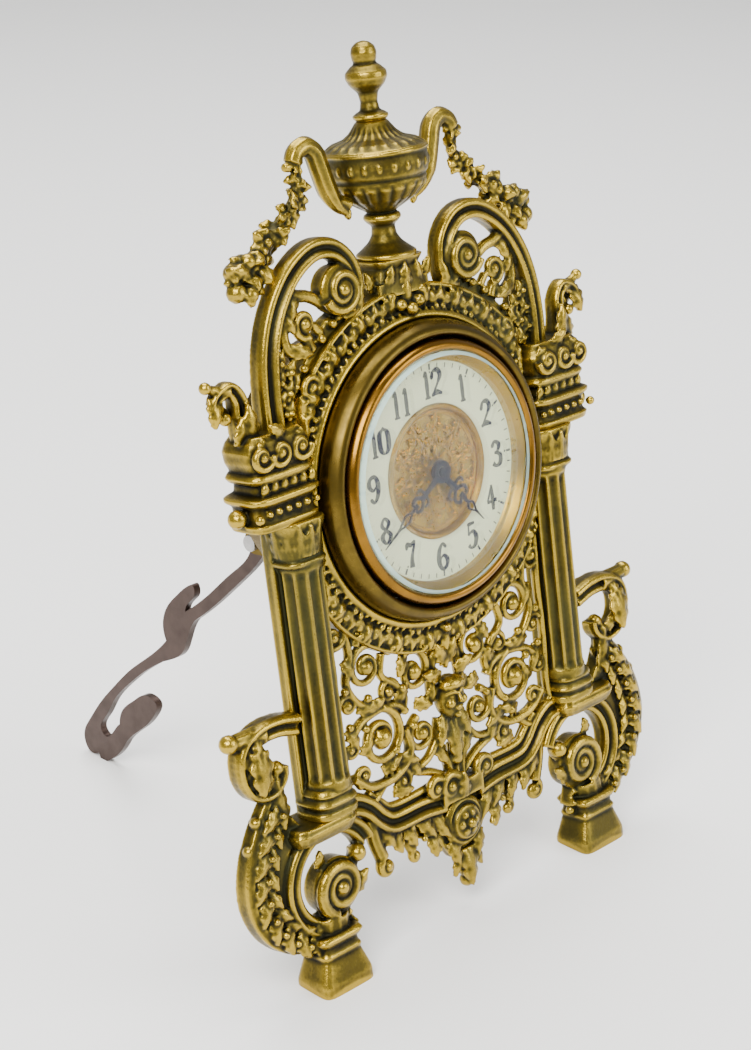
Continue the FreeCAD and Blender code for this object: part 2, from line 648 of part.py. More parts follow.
TOOTH = {
    # (height over the pitch circle in modules, half thickness as a share of the pitch)
    "wheel": [(-1.5, 0.21), (0.0, 0.19), (0.6, 0.15), (1.15, 0.05)],
    "pinion": [(-1.6, 0.09), (0.0, 0.14), (0.35, 0.11), (0.7, 0.04)],
    "ratchet": [(-1.2, 0.35), (1.0, 0.06)],
}


def toothed(kind, teeth, module, thick, at, w, phase=0.0):
    """A toothed disc: each tooth follows its profile up one side and down the other."""
    pitch = 2 * math.pi / teeth
    points = []
    for k in range(teeth):
        middle = math.radians(phase) + k * pitch
        up = [(height, middle - half * pitch) for height, half in TOOTH[kind]]
        down = [(height, middle + half * pitch) for height, half in reversed(TOOTH[kind])]
        for height, angle in up + down:
            radius = module * (teeth / 2 + height)
            points.append(Vector(radius * math.cos(angle), radius * math.sin(angle), 0))
    face = Part.Face(Part.makePolygon(points + [points[0]]))
    solid = face.extrude(Vector(0, 0, float(thick)))
    solid.translate(Vector(at.x, at.y, float(w)))
    return solid


def pole(radius, length, at, w):
    return Part.makeCylinder(float(radius), float(length), Vector(at.x, at.y, float(w)))


def spokes(wheel, teeth, module, at, w, hub, count=5):
    """Cuts the crossings out of a wheel, leaving its rim and spokes."""
    rim = module * (teeth / 2 - 1.6) - 1.6
    middle = (rim + hub) / 2
    radius = min((rim - hub) / 2, middle * math.sin(math.pi / count) - 0.8)
    for k in range(count):
        hole = polar(at, middle, 360.0 * k / count + 18)
        wheel = wheel.cut(pole(radius, 20, hole, float(w) - 5))
    return wheel


def exact(shape, label):
    """A sub-part cut from Part's own solids, with its sizes read from the sheet."""
    feature = doc.addObject("Part::Feature", "Cutting")
    feature.Shape = shape
    return keep(feature, label)


def facing(pair, origin, other):
    """Turns a pinion so that a gap between its leaves faces the wheel it meshes with."""
    towards = math.degrees(math.atan2(other.y - origin.y, other.x - origin.x))
    return towards + 180.0 / WHEELS[pair][1]


def bearing(origin, other):
    return math.degrees(math.atan2(other.y - origin.y, other.x - origin.x))


plateBackW = float(s.frontPlate) - float(s.plateGap)
frontFaceW = float(s.frontPlate) + float(s.plateThick)
gapLength = float(s.plateGap)


def spindle(at, radius):
    """An arbor between the plates with a pivot at each end."""
    pivot = float(s.plateThick)
    body = pole(radius, gapLength - 0.4, at, plateBackW + 0.2)
    return body.fuse(pole(s.pivotRadius, gapLength + 2 * pivot - 0.4, at, plateBackW - pivot + 0.2))


def goingTrain():
    levels = {"great": -33.5, "centre": -29.0, "third": -24.6, "fourth": -20.6}
    thick = {"great": 2.0, "centre": 1.2, "third": 1.0, "fourth": 0.8}
    chain = [("great", greatAt, centre), ("centre", centre, thirdAt), ("third", thirdAt, fourthAt),
             ("fourth", fourthAt, escapeAt)]
    drivenBy = {"centre": ("great", greatAt), "third": ("centre", centre), "fourth": ("third", thirdAt)}
    bore = float(s.arborRadius) + float(s.running)
    for name, at, following in chain:
        teeth, leaves, module = WHEELS[name]
        level = levels[name]
        wheel = toothed("wheel", teeth, module, thick[name], at, level, bearing(at, following))
        wheel = spokes(wheel, teeth, module, at, level, 4.5)
        if name == "great":
            hub = pole(4.0, 5.0, at, level).cut(pole(2.0 + float(s.running), 9, at, level - 2))
            wheel = wheel.cut(pole(2.0 + float(s.running), 9, at, level - 2)).fuse(hub)
            exact(wheel, "great_wheel")
            continue
        pair, driver = drivenBy[name]
        pinionLength = thick[pair] + 2.2
        pinionFoot = levels[pair] - 0.8
        pinion = toothed("pinion", 8, WHEELS[pair][2], pinionLength, at, pinionFoot, facing(pair, at, driver))
        if name == "centre":
            sleeve = pole(1.4, level - pinionFoot + 4.0, at, pinionFoot)
            whole = wheel.fuse(pinion).fuse(sleeve)
            whole = whole.cut(pole(bore, 40, at, -50))
        else:
            whole = wheel.fuse(pinion).fuse(spindle(at, s.pinionArbor))
        exact(whole, name + "_wheel")


def escapement():
    level = -16.6
    teeth = 15
    points = []
    for k in range(teeth):
        a = 2 * math.pi * k / teeth
        for radius, ahead in ((4.9, 0.0), (7.0, 0.16), (7.0, 0.20), (5.0, 0.26)):
            turn = a + ahead
            points.append(Vector(radius * math.cos(turn), radius * math.sin(turn), 0))
    face = Part.Face(Part.makePolygon(points + [points[0]]))
    wheel = face.extrude(Vector(0, 0, 0.8))
    wheel.translate(Vector(escapeAt.x, escapeAt.y, level))
    for k in range(4):
        wheel = wheel.cut(pole(1.1, 5, polar(escapeAt, 3.0, 90 * k + 45), level - 2))
    exact(wheel.cut(pole(s.pinionArbor, 5, escapeAt, level - 2)), "escape_wheel")
    pinion = toothed("pinion", 8, WHEELS["fourth"][2], 3.0, escapeAt, -21.7, facing("fourth", escapeAt, fourthAt))
    arbor = pinion.fuse(spindle(escapeAt, s.pinionArbor))
    exact(arbor, "escape_arbor")
    across = bearing(escapeAt, balanceAt)
    turn = Rotation(Vector(0, 0, 1), across)
    bar = Part.makeBox(9.8, 1.2, 0.8, Vector(-0.4, -0.6, 0))
    yoke = Part.makeBox(1.0, 7.0, 0.8, Vector(-1.6, -3.5, 0))
    pallets = [Part.makeBox(2.8, 0.8, 0.8, Vector(-4.0, y, 0)) for y in (-3.5, 2.7)]
    lever = bar.multiFuse([yoke] + pallets)
    lever.Placement = Placement(Vector(leverAt.x, leverAt.y, level), turn)
    exact(lever.fuse(spindle(leverAt, s.pinionArbor)), "lever")
    rim = pole(10.0, 1.4, balanceAt, -14.0).cut(pole(8.6, 5, balanceAt, -16))
    arms = Part.makeBox(17.8, 1.6, 0.9, Vector(-8.9, -0.8, -14.0))
    arms.translate(Vector(balanceAt.x, balanceAt.y, 0))
    roller = pole(2.2, 0.7, balanceAt, level)
    exact(rim.multiFuse([arms, roller, spindle(balanceAt, s.pinionArbor)]), "balance_wheel")
    collet = pole(2.0, 1.0, balanceAt, -12.4).cut(pole(s.pinionArbor, 5, balanceAt, -14))
    turns = [pole(r + 0.15, 0.6, balanceAt, -12.2).cut(pole(r - 0.15, 5, balanceAt, -14)) for r in (3.2, 4.4, 5.6)]
    ties = Part.makeBox(5.6, 0.5, 0.6, Vector(balanceAt.x + 1.2, balanceAt.y - 0.25, -12.2))
    spring = collet.multiFuse(turns + [ties]).cut(pole(s.pinionArbor, 5, balanceAt, -14))
    exact(spring, "hairspring")


def motionWork():
    cannonFoot = frontFaceW + 0.8
    handTop = 11.4
    cannon = toothed("pinion", cannonTeeth, float(s.motionModule), 2.0, centre, cannonFoot,
                     bearing(centre, minuteAt) + 180.0 / cannonTeeth)
    pipe = pole(1.7, handTop - 0.6 - cannonFoot, centre, cannonFoot)
    exact(cannon.fuse(pipe).cut(pole(float(s.arborRadius) + 0.02, 60, centre, -30)), "cannon_pinion")
    studBore = 1.0 + float(s.running)
    wheelLevel = cannonFoot + 0.3
    wheel = toothed("wheel", minuteTeeth, float(s.motionModule), 1.2, minuteAt, wheelLevel,
                    bearing(minuteAt, centre))
    wheel = spokes(wheel, minuteTeeth, float(s.motionModule), minuteAt, wheelLevel, 3.0, 4)
    leaves = toothed("pinion", minuteLeaves, float(s.hourModule), 3.2, minuteAt, wheelLevel + 1.2,
                     bearing(minuteAt, centre) + 180.0 / minuteLeaves)
    exact(wheel.fuse(leaves).cut(pole(studBore, 20, minuteAt, -15)), "minute_wheel")
    hourLevel = wheelLevel + 2.2
    wheel = toothed("wheel", hourTeeth, float(s.hourModule), 1.2, centre, hourLevel, bearing(centre, minuteAt))
    wheel = spokes(wheel, hourTeeth, float(s.hourModule), centre, hourLevel, 3.4, 5)
    hourPipe = pole(2.6, 10.2 - hourLevel, centre, hourLevel)
    exact(wheel.fuse(hourPipe).cut(pole(1.7 + float(s.running), 30, centre, -15)), "hour_wheel")


def hand(label, length, level, angle, hub, bore, piercing):
    """A spade hand: a hub, a tapering blade and a pierced leaf near its tip."""
    thick = float(s.handThick)
    leafAt = float(length) * 0.68
    tail = [Vector(-0.9, 0, 0), Vector(-0.5, leafAt, 0), Vector(0.5, leafAt, 0), Vector(0.9, 0, 0)]
    leaf = [Vector(-0.5, leafAt - 4, 0), Vector(-piercing, leafAt, 0), Vector(-0.35, leafAt + 5, 0),
            Vector(-0.15, float(length), 0), Vector(0.15, float(length), 0), Vector(0.35, leafAt + 5, 0),
            Vector(piercing, leafAt, 0), Vector(0.5, leafAt - 4, 0)]
    solids = []
    for points in (tail, leaf):
        face = Part.Face(Part.makePolygon(points + [points[0]]))
        solids.append(face.extrude(Vector(0, 0, thick)))
    blade = solids[0].fuse(solids[1])
    blade.Placement = Placement(Vector(0, 0, level), Rotation(Vector(0, 0, 1), -float(angle)))
    disc = pole(hub, thick, centre, level)
    exact(disc.fuse(blade).cut(pole(bore, 10, centre, level - 5)), label)


def handsAndArbor():
    hand("hour_hand", s.hourHand, 9.6, s.hourAngle, 4.2, 2.6, 2.6)
    hand("minute_hand", s.minuteHand, 10.8, s.minuteAngle, 3.4, 1.7, 1.5)
    rear = -float(s.drumDepth) - 12.0
    nutFoot = 10.8 + float(s.handThick)
    arbor = pole(s.arborRadius, nutFoot + 0.6 - rear, centre, rear)
    exact(arbor, "centre_arbor")
    nut = pole(1.9, 0.8, centre, nutFoot).cut(pole(s.arborRadius, 5, centre, nutFoot - 2))
    exact(nut, "hand_nut")
    knob = toothed("ratchet", 24, 0.42, 5.0, centre, -float(s.drumDepth) - 11.0)
    exact(knob.cut(pole(s.arborRadius, 20, centre, rear - 2)), "hand_set_knob")


def plates():
    """The two movement plates, drilled for every pivot that runs in them."""
    pivots = [thirdAt, fourthAt, escapeAt, leverAt, balanceAt]
    drill = float(s.pivotRadius) + float(s.running)
    arborHole = float(s.arborRadius) + float(s.running)
    windHole = 2.0 + float(s.running)
    bores = [(p.x, p.y, drill) for p in pivots]
    bores += [(0, 0, arborHole), (greatAt.x, greatAt.y, windHole)]
    screwBores = [polar(centre, float(s.drumRadius) - 2.4 - float(s.drumWall), 90 + 120 * k) for k in range(3)]
    front = bores + [(minuteAt.x, minuteAt.y, 1.0)]
    discBody("front_plate", s.plateRadius, front, s.plateThick, s.frontPlate)
    discBody("back_plate", s.plateRadius - 1.5, bores, s.plateThick, plateBackW - float(s.plateThick))
    pillars = []
    for angle in (10, 80, 160, 250):
        at = polar(centre, float(s.pillarCircle), angle)
        pillars.append(rod(s.pillarRadius, s.plateGap, at.x, at.y, plateBackW))
    keep(fuse(pillars), "plate_pillars")
    heads = []
    for at in screwBores:
        heads.append(rod(1.5, 1.2, at.x, at.y, frontFaceW))
    keep(fuse(heads), "case_screws")
    keep(rod(1.0, 9.4, minuteAt.x, minuteAt.y, s.frontPlate), "minute_stud")


def winding():
    rear = -float(s.drumDepth) - 22.0
    arbor = pole(2.0, -float(rear) + frontFaceW, greatAt, rear)
    exact(arbor, "winding_arbor")
    level = -35.7
    ratchet = toothed("ratchet", 24, 0.66, 1.6, greatAt, level)
    exact(ratchet.cut(pole(2.0, 9, greatAt, level - 3)), "ratchet_wheel")
    clickAt = polar(greatAt, 10.6, 126)
    body = pole(1.6, 2.2, clickAt, level)
    pawl = Part.makeBox(5.0, 1.4, 1.2, Vector(0, -0.7, 0))
    pawl.Placement = Placement(Vector(clickAt.x, clickAt.y, level + 0.2), Rotation(Vector(0, 0, 1), 241))
    exact(body.fuse(pawl), "click")
    exact(mainspringCoil(greatAt, -24.6, 10.5), "mainspring")
    keyFoot = rear - 4.0
    hub = pole(4.0, 12.0, greatAt, keyFoot).cut(pole(2.0, 8.0, greatAt, rear))
    wings = Part.makeBox(23.0, 2.2, 11.0, Vector(-11.5, -1.1, 0))
    wings = wings.cut(Part.makeCylinder(3.0, 9, Vector(-7.2, -4, 5.2), Vector(0, 1, 0)))
    wings = wings.cut(Part.makeCylinder(3.0, 9, Vector(7.2, -4, 5.2), Vector(0, 1, 0)))
    wings.Placement = Placement(Vector(greatAt.x, greatAt.y, keyFoot - 9.0), Rotation(Vector(0, 0, 1), 35))
    exact(hub.fuse(wings), "winding_key")


def mainspringCoil(at, w, depth):
    """A flat coil of strip: two spirals of half circles, a strip's thickness apart."""
    strip, gap, turns = 0.5, 1.2, 6
    edges = []
    for offset in (0.0, strip):
        points = []
        for k in range(turns * 2 + 1):
            radius = 2.6 + offset + gap * k / 2
            points.append((radius, k))
        for (radius, k), (wider, _) in zip(points, points[1:]):
            here = polar(at, radius, 180 * k)
            there = polar(at, wider, 180 * (k + 1))
            middle = polar(at, (radius + wider) / 2, 180 * k + 90)
            edges.append(Part.Arc(here, middle, there).toShape())
    inner, outer = edges[:turns * 2], edges[turns * 2:]
    ends = [Part.makeLine(inner[0].Vertexes[0].Point, outer[0].Vertexes[0].Point),
            Part.makeLine(inner[-1].Vertexes[-1].Point, outer[-1].Vertexes[-1].Point)]
    wire = Part.Wire(Part.__sortEdges__(inner + outer + ends))
    coil = Part.Face(wire).extrude(Vector(0, 0, depth))
    coil.translate(Vector(0, 0, w))
    return coil


# ---------------------------------------------------------------- back and strut

def backOfCase():
    bores = [(0, 0, 3.0), (greatAt.x, greatAt.y, 4.4)]
    discBody("back_cover", s.drumRadius, bores, s.coverThick, -float(s.drumDepth) - float(s.coverThick))
    back = -float(s.drumDepth) - float(s.coverThick)
    heads = []
    for k in range(4):
        at = polar(centre, 44.0, 22 + 90 * k)
        heads.append(rod(2.0, 1.2, at.x, at.y, back - 1.2))
    keep(fuse(heads), "cover_screws")
    x = float(s.strutX)
    base = block(19.0, 24.0, 2.2, x, float(s.hingeV) - 12.0, back - 2.2)
    ears = []
    for side in (-1, 1):
        offset = side * (float(s.strutThick) / 2 + 0.3 + 1.2)
        web = block(2.4, 10.0, back - float(s.hingeW), x + offset, float(s.hingeV) - 5.0, s.hingeW)
        lobe = rod(5.0, 2.4, x + offset - 1.2, s.hingeV, s.hingeW, "x")
        ears += [web, lobe]
    drill = rod(s.pinRadius, 40.0, x - 20.0, s.hingeV, s.hingeW, "x")
    keep(cut(fuse([base] + ears), [drill]), "strut_bracket")
    heads = [rod(1.9, 1.0, x + dx, float(s.hingeV) + dv, back - 3.2) for dx, dv in ((-6.5, 9.0), (6.5, 9.0), (-6.5, -9.0), (6.5, -9.0))]
    keep(fuse(heads), "bracket_screws")
    earOut = float(s.strutThick) / 2 + 0.3 + 2.4
    pin = rod(s.pinRadius, earOut * 2.0 + 1.4, x - earOut, s.hingeV, s.hingeW, "x")
    head = rod(3.2, 2.6, x - earOut - 2.6, s.hingeV, s.hingeW, "x")
    keep(fuse([pin, head]), "hinge_pin")


def curve(points):
    """A smooth edge through the points, drawn across the clock's X axis."""
    spline = Part.BSplineCurve()
    spline.interpolate([Vector(0, y, z) for y, z in points])
    return spline.toShape()


def strut():
    """The scrolled prop. Its outline is drawn back (y) and up (z) from the hinge pin."""
    drawnDrop = 134.7
    corners = [
        [(4.2, 2.6), (6.7, -9.1), (16.6, -19.1), (30.1, -32.2), (45.4, -45.0)],
        [(45.4, -45.0), (42.2, -39.4), (39.2, -34.8), (40.2, -31.9), (44.0, -33.4), (50.5, -39.3), (56.7, -46.2),
         (59.4, -52.0), (58.2, -62.2)],
        [(58.2, -62.2), (67.5, -71.4), (83.0, -84.3), (94.1, -95.6), (103.9, -106.5), (112.9, -118.8),
         (116.8, -127.2), (115.0, -132.6), (107.0, -132.5)],
        [(107.0, -132.5), (106.0, -drawnDrop)],
        [(106.0, -drawnDrop), (101.8, -drawnDrop)],
        [(101.8, -drawnDrop), (91.5, -126.0), (87.6, -120.4)],
        [(87.6, -120.4), (77.4, -110.4), (68.7, -101.3), (66.3, -94.5), (72.3, -92.6), (80.7, -97.5),
         (89.6, -105.9), (91.6, -113.0)],
        [(91.6, -113.0), (96.8, -119.0), (102.0, -122.4), (104.3, -120.5), (100.6, -112.1), (95.2, -103.4),
         (85.6, -92.6), (73.6, -81.8), (61.1, -72.8)],
        [(61.1, -72.8), (54.9, -69.6), (48.3, -64.5), (45.1, -57.8), (39.3, -46.8)],
        [(39.3, -46.8), (26.5, -35.8), (14.0, -23.7), (2.8, -12.2), (-4.6, -2.0)],
        [(-4.6, -2.0), (4.2, 2.6)],
    ]
    pin = clockFrame.multVec(Vector(float(s.strutX), float(s.hingeV), float(s.hingeW)))
    share = pin.z / drawnDrop
    edges = [curve([(y * share, z * share) for y, z in run]) for run in corners]
    left = -float(s.strutThick) / 2
    bar = Part.Face(Part.Wire(edges)).extrude(Vector(float(s.strutThick), 0, 0))
    bar.translate(Vector(left, 0, 0))
    across = Vector(1, 0, 0)
    eye = Part.makeCylinder(4.9, float(s.strutThick), Vector(left, 0, 0), across)
    hole = Part.makeCylinder(float(s.pinRadius) + float(s.running), 20, Vector(-10, 0, 0), across)
    feature = doc.addObject("Part::Feature", "Prop")
    feature.Shape = bar.fuse(eye).cut(hole)
    feature.Label = "strut"
    feature.Placement = Placement(pin, Rotation())
    subParts.append(feature)


def everyPiece():
    dialSurround()
    for side, name in ((-1, "left"), (1, "right")):
        column(side, name)
        shoulder(side, name)
        topArch(side, name)
        garland(side, name)
        baseScroll(side, name)
    urn()
    baseApron()
    scrollPanel()
    clockHead()
    goingTrain()
    escapement()
    motionWork()
    handsAndArbor()
    plates()
    winding()
    backOfCase()
    strut()


everyPiece()
doc.recompute()



def standOnFloor():
    """Moves the clock so that the middle of its footprint is the origin, on the floor."""
    box = FreeCAD.BoundBox()
    for piece in subParts:
        box.add(piece.Shape.optimalBoundingBox(False, False))
    shift = Vector(-(box.XMin + box.XMax) / 2, -(box.YMin + box.YMax) / 2, -box.ZMin)
    for piece in subParts:
        moved = piece.Placement.copy()
        moved.Base = moved.Base + shift
        piece.Placement = moved
    return shift, box


originShift, wholeBox = standOnFloor()
doc.recompute()


def checkAndExport():
    for obj in doc.Objects:
        if "Invalid" in obj.State or "Error" in obj.State:
            raise RuntimeError("%s is in state %s" % (obj.Label, obj.State))
    for piece in subParts:
        if piece.Shape.isNull() or not piece.Shape.isValid() or not piece.Shape.Solids:
            raise RuntimeError("%s has no valid solid" % piece.Label)
    for piece in subParts:
        piece.Shape.exportStep("parts/%s.step" % piece.Label)
        print("%-24s %2d solids %10.1f mm3" % (piece.Label, len(piece.Shape.Solids), piece.Shape.Volume))


checkAndExport()
print("pieces", len(subParts), "shift", originShift, "box", wholeBox)
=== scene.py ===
import json
import math

import bmesh
import bpy
import numpy as np
from mathutils import Matrix, Vector


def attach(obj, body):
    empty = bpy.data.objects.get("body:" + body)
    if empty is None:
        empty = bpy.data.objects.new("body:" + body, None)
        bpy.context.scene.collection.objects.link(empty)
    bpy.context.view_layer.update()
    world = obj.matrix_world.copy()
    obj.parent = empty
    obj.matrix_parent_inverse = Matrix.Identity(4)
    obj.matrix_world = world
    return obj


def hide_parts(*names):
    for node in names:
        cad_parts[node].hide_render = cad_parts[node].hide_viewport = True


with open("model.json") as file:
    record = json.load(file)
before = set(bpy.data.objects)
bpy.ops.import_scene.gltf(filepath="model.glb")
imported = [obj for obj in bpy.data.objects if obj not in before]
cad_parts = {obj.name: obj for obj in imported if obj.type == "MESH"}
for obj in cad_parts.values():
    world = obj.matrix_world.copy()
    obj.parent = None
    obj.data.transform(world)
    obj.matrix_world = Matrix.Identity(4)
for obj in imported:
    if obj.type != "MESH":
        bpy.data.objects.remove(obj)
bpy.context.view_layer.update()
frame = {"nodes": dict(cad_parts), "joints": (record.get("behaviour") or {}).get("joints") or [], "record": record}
mm = 0.001

# Shapes are drawn in the clock's own frame, in millimetres: x to the right, v up the leaning
# front, w out of the dial. This turns them into the frame's metres.
handJoint = next(j for j in frame["joints"] if j["name"] == "minute_hand_turn")
outOfDial = -Vector(handJoint["axis"]).normalized()
acrossDial = Vector((1, 0, 0))
upDial = outOfDial.cross(acrossDial)
place = Matrix.Translation(Vector(handJoint["pos_m"])) @ Matrix(
    (acrossDial * mm, upDial * mm, outOfDial * mm)).transposed().to_4x4()
floorBelow = -handJoint["pos_m"][2] / mm  # how far the floor is under the dial's centre

camera = {
    "place": (-0.57403, -0.61755, 0.47969),
    "looks": (0.65521, 0.65139, -0.38260),
    "lens": 79.17,
    "sensor": 36,
    "near": 0.05,
    "far": 30,
}


def setCamera():
    data = bpy.data.cameras.new("camera")
    data.lens, data.sensor_width, data.sensor_fit = camera["lens"], camera["sensor"], "AUTO"
    data.clip_start, data.clip_end = camera["near"], camera["far"]
    body = bpy.data.objects.new("camera", data)
    bpy.context.scene.collection.objects.link(body)
    looks = Vector(camera["looks"]).normalized()
    right = looks.cross(Vector((0, 0, 1))).normalized()
    turn = Matrix((right, right.cross(looks), -looks)).transposed().to_4x4()
    body.matrix_world = Matrix.Translation(camera["place"]) @ turn
    bpy.context.scene.camera = body


setCamera()
print("camera set")


# Each shape is a pair: its corners, and its faces as lists of corner numbers.

def joined(shapes):
    verts, faces, start = [], [], 0
    for v, f in shapes:
        verts.append(np.asarray(v, float))
        faces += [[i + start for i in face] for face in f]
        start += len(v)
    return np.concatenate(verts), faces


def moved(shape, by=(0, 0, 0), turn=0.0, mirrored=False):
    v, f = shape
    v = np.array(v, float)
    if mirrored:
        v = v * (-1, 1, 1)
        f = [face[::-1] for face in f]
    c, s = math.cos(turn), math.sin(turn)
    v = v @ np.array(((c, s, 0), (-s, c, 0), (0, 0, 1))) + np.array(by, float)
    return v, f


def both(shapes):
    return list(shapes) + [moved(s, mirrored=True) for s in shapes]


def netFaces(rows, around, closed=True):
    last = around if closed else around - 1
    return [[r * around + i, r * around + (i + 1) % around,
             (r + 1) * around + (i + 1) % around, (r + 1) * around + i]
            for r in range(rows - 1) for i in range(last)]


def capped(rows, around):
    last = (rows - 1) * around
    return netFaces(rows, around) + [list(range(around))[::-1], [last + i for i in range(around)]]


def sweep(path, section, sizes=None):
    path = np.array(path, float)
    if path.shape[1] == 2:
        path = np.column_stack((path, np.zeros(len(path))))
    sizes = np.ones(len(path)) if sizes is None else np.array(sizes, float)
    along = np.gradient(path, axis=0)
    along /= np.linalg.norm(along, axis=1)[:, None]
    across = np.cross(along, np.array((0.0, 0.0, 1.0)))
    across /= np.linalg.norm(across, axis=1)[:, None] + 1e-9
    depth = np.cross(across, along)
    section = np.array(section, float)
    rings = (path[:, None, :] + (across[:, None, :] * section[None, :, :1]
             + depth[:, None, :] * section[None, :, 1:]) * sizes[:, None, None])
    return rings.reshape(-1, 3), capped(len(path), len(section))


def tube(path, radii, flat=1.0, sides=8):
    a = np.linspace(0, 2 * math.pi, sides, endpoint=False)
    radii = [radii] * len(path) if np.isscalar(radii) else radii
    return sweep(path, np.column_stack((np.cos(a), np.sin(a) * flat)), radii)


def curved(points, count=24):
    p = np.array(points, float)
    if p.shape[1] == 2:
        p = np.column_stack((p, np.zeros(len(p))))
    p = np.vstack((2 * p[0] - p[1], p, 2 * p[-1] - p[-2]))
    out = []
    for t in np.linspace(0, len(p) - 3 - 1e-6, count):
        k, u = int(t), t % 1
        a, b, c, d = p[k:k + 4]
        out.append(0.5 * (2 * b + (c - a) * u + (2 * a - 5 * b + 4 * c - d) * u * u
                          + (3 * b - a - 3 * c + d) * u ** 3))
    return np.array(out)


def arc(centre, radius, start, end, count=24, w=0.0):
    a = np.radians(np.linspace(start, end, count))
    radius = np.linspace(radius, radius, count) if np.isscalar(radius) else np.array(radius)
    return np.column_stack((centre[0] + radius * np.cos(a), centre[1] + radius * np.sin(a),
                            np.full(count, w)))


def ball(centre, radius, squash=(1, 1, 1), rows=7, around=10):
    p = math.pi * (np.arange(rows) + 0.5) / rows
    a = 2 * math.pi * np.arange(around) / around
    v = np.stack((np.outer(np.sin(p), np.cos(a)), np.outer(np.sin(p), np.sin(a)),
                  np.outer(np.cos(p), np.ones(around))), -1).reshape(-1, 3)
    return v * squash * radius + np.array(centre, float), capped(rows, around)


def block(centre, size, turn=0.0):
    x, y, z = np.array(size) / 2
    v = [(sx * x, sy * y, sz * z) for sx in (-1, 1) for sy in (-1, 1) for sz in (-1, 1)]
    f = [[0, 1, 3, 2], [4, 6, 7, 5], [0, 4, 5, 1], [2, 3, 7, 6], [0, 2, 6, 4], [1, 5, 7, 3]]
    return moved((v, f), centre, turn)


# levels are (v, half width, half depth) of rounded square outlines, one above the other
def stack(x, w, levels, square=5.0, around=36):
    a = 2 * math.pi * np.arange(around) / around
    c, s = np.cos(a), np.sin(a)
    r = (np.abs(c) ** square + np.abs(s) ** square) ** (-1 / square)
    v = [np.column_stack((x + c * r * wide, np.full(around, high), w + s * r * deep))
         for high, wide, deep in levels]
    return np.concatenate(v), capped(len(levels), around)


# profile is (radius, height) about the w axis, or about the v axis when upright; wave changes
# the radius with the angle, and a ring's profile closes on itself
def lathe(profile, around=128, centre=(0, 0, 0), upright=False, ring=False, wave=None):
    p = np.array(profile, float)
    a = 2 * math.pi * np.arange(around) / around
    r = np.repeat(p[:, :1], around, 1)
    if wave:
        r = r * wave(a[None, :], p[:, :1], p[:, 1:])
    h = np.repeat(p[:, 1:], around, 1)
    x, y = r * np.cos(a), r * np.sin(a)
    v = np.stack((x, h, y) if upright else (x, y, h), -1).reshape(-1, 3) + np.array(centre, float)
    if not ring:
        return v, capped(len(p), around)
    n = len(v)
    return v, [[i % n for i in face] for face in netFaces(len(p) + 1, around)]


def rounded(profile, cut=0.35):
    p, out = np.array(profile, float), []
    out.append(p[0])
    for a, b, c in zip(p[:-2], p[1:-1], p[2:]):
        near = min(cut, np.linalg.norm(b - a) * 0.4, np.linalg.norm(c - b) * 0.4)
        start = b + (a - b) / (np.linalg.norm(a - b) + 1e-9) * near
        end = b + (c - b) / (np.linalg.norm(c - b) + 1e-9) * near
        out += [start, (start + end + 2 * b) / 4, end]
    return np.array(out + [p[-1]])


# a long leaf lying on the front, from base along angle (in degrees), with a rib, lobes and a
# tip that lifts
def leaf(base, angle, length, wide, lift=1.6, lobes=3, curl=0.0, thick=1.3, rows=13, cols=7):
    t = np.linspace(0, 1, rows)[:, None]
    s = np.linspace(-1, 1, cols)[None, :]
    half = wide / 2 * np.sin(math.pi * (0.16 + 0.84 * t) ** 0.85) ** 0.7
    half = half * (1 - 0.3 * np.abs(np.sin(lobes * math.pi * t)) ** 3 * (t < 0.95)) + 0.15
    bend = np.radians(angle) + np.radians(curl) * t
    px = np.cumsum(np.cos(bend), 0) * length / rows
    py = np.cumsum(np.sin(bend), 0) * length / rows
    x = px - np.sin(bend) * half * s
    y = py + np.cos(bend) * half * s
    top = lift * (0.35 + 0.65 * np.sin(math.pi * t * 0.8)) * (1 - 0.55 * s ** 2)
    top = top - 0.5 * (np.abs(s) < 0.1) + 0.35 * np.cos(6 * s) * np.sin(math.pi * t)
    front = np.stack((x, y, top + 0 * s), -1).reshape(-1, 3)
    back = front - (0, 0, thick)
    n = rows * cols
    faces = netFaces(rows, cols, closed=False)
    faces += [[i + n for i in face[::-1]] for face in faces]
    edge = (list(range(cols)) + [r * cols + cols - 1 for r in range(1, rows)]
            + [(rows - 1) * cols + c for c in range(cols - 2, -1, -1)]
            + [r * cols for r in range(rows - 2, 0, -1)])
    faces += [[b, a, a + n, b + n] for a, b in zip(edge, edge[1:] + edge[:1])]
    base = tuple(base) + (0,) * (3 - len(base))
    return np.concatenate((front, back)) + np.array(base, float), faces


# a rolled scroll: a round bar that winds in to a bead
def scroll(centre, radius, start, turns, bar, w=0.0, eye=0.34, flat=1.1):
    angles = np.linspace(0, 1, max(10, int(abs(turns) * 22)))
    r = radius * (1 - 0.80 * angles ** 0.85)
    a = np.radians(start) + angles * turns * 2 * math.pi
    path = np.column_stack((centre[0] + r * np.cos(a), centre[1] + r * np.sin(a),
                            np.full(len(a), w)))
    return [tube(path, bar * (1 - 0.35 * angles), flat),
            ball((centre[0], centre[1], w + bar * 0.35), radius * eye, (1, 1, 0.9))]


def rosette(centre, radius, petals=6, w=0.0):
    shapes = [ball((centre[0], centre[1], w + radius * 0.35), radius * 0.34)]
    for i in range(petals):
        a = 2 * math.pi * i / petals
        spot = (centre[0] + radius * 0.6 * math.cos(a), centre[1] + radius * 0.6 * math.sin(a), w)
        shapes.append(ball(spot, radius * 0.36, (1, 1, 0.9)))
    return shapes


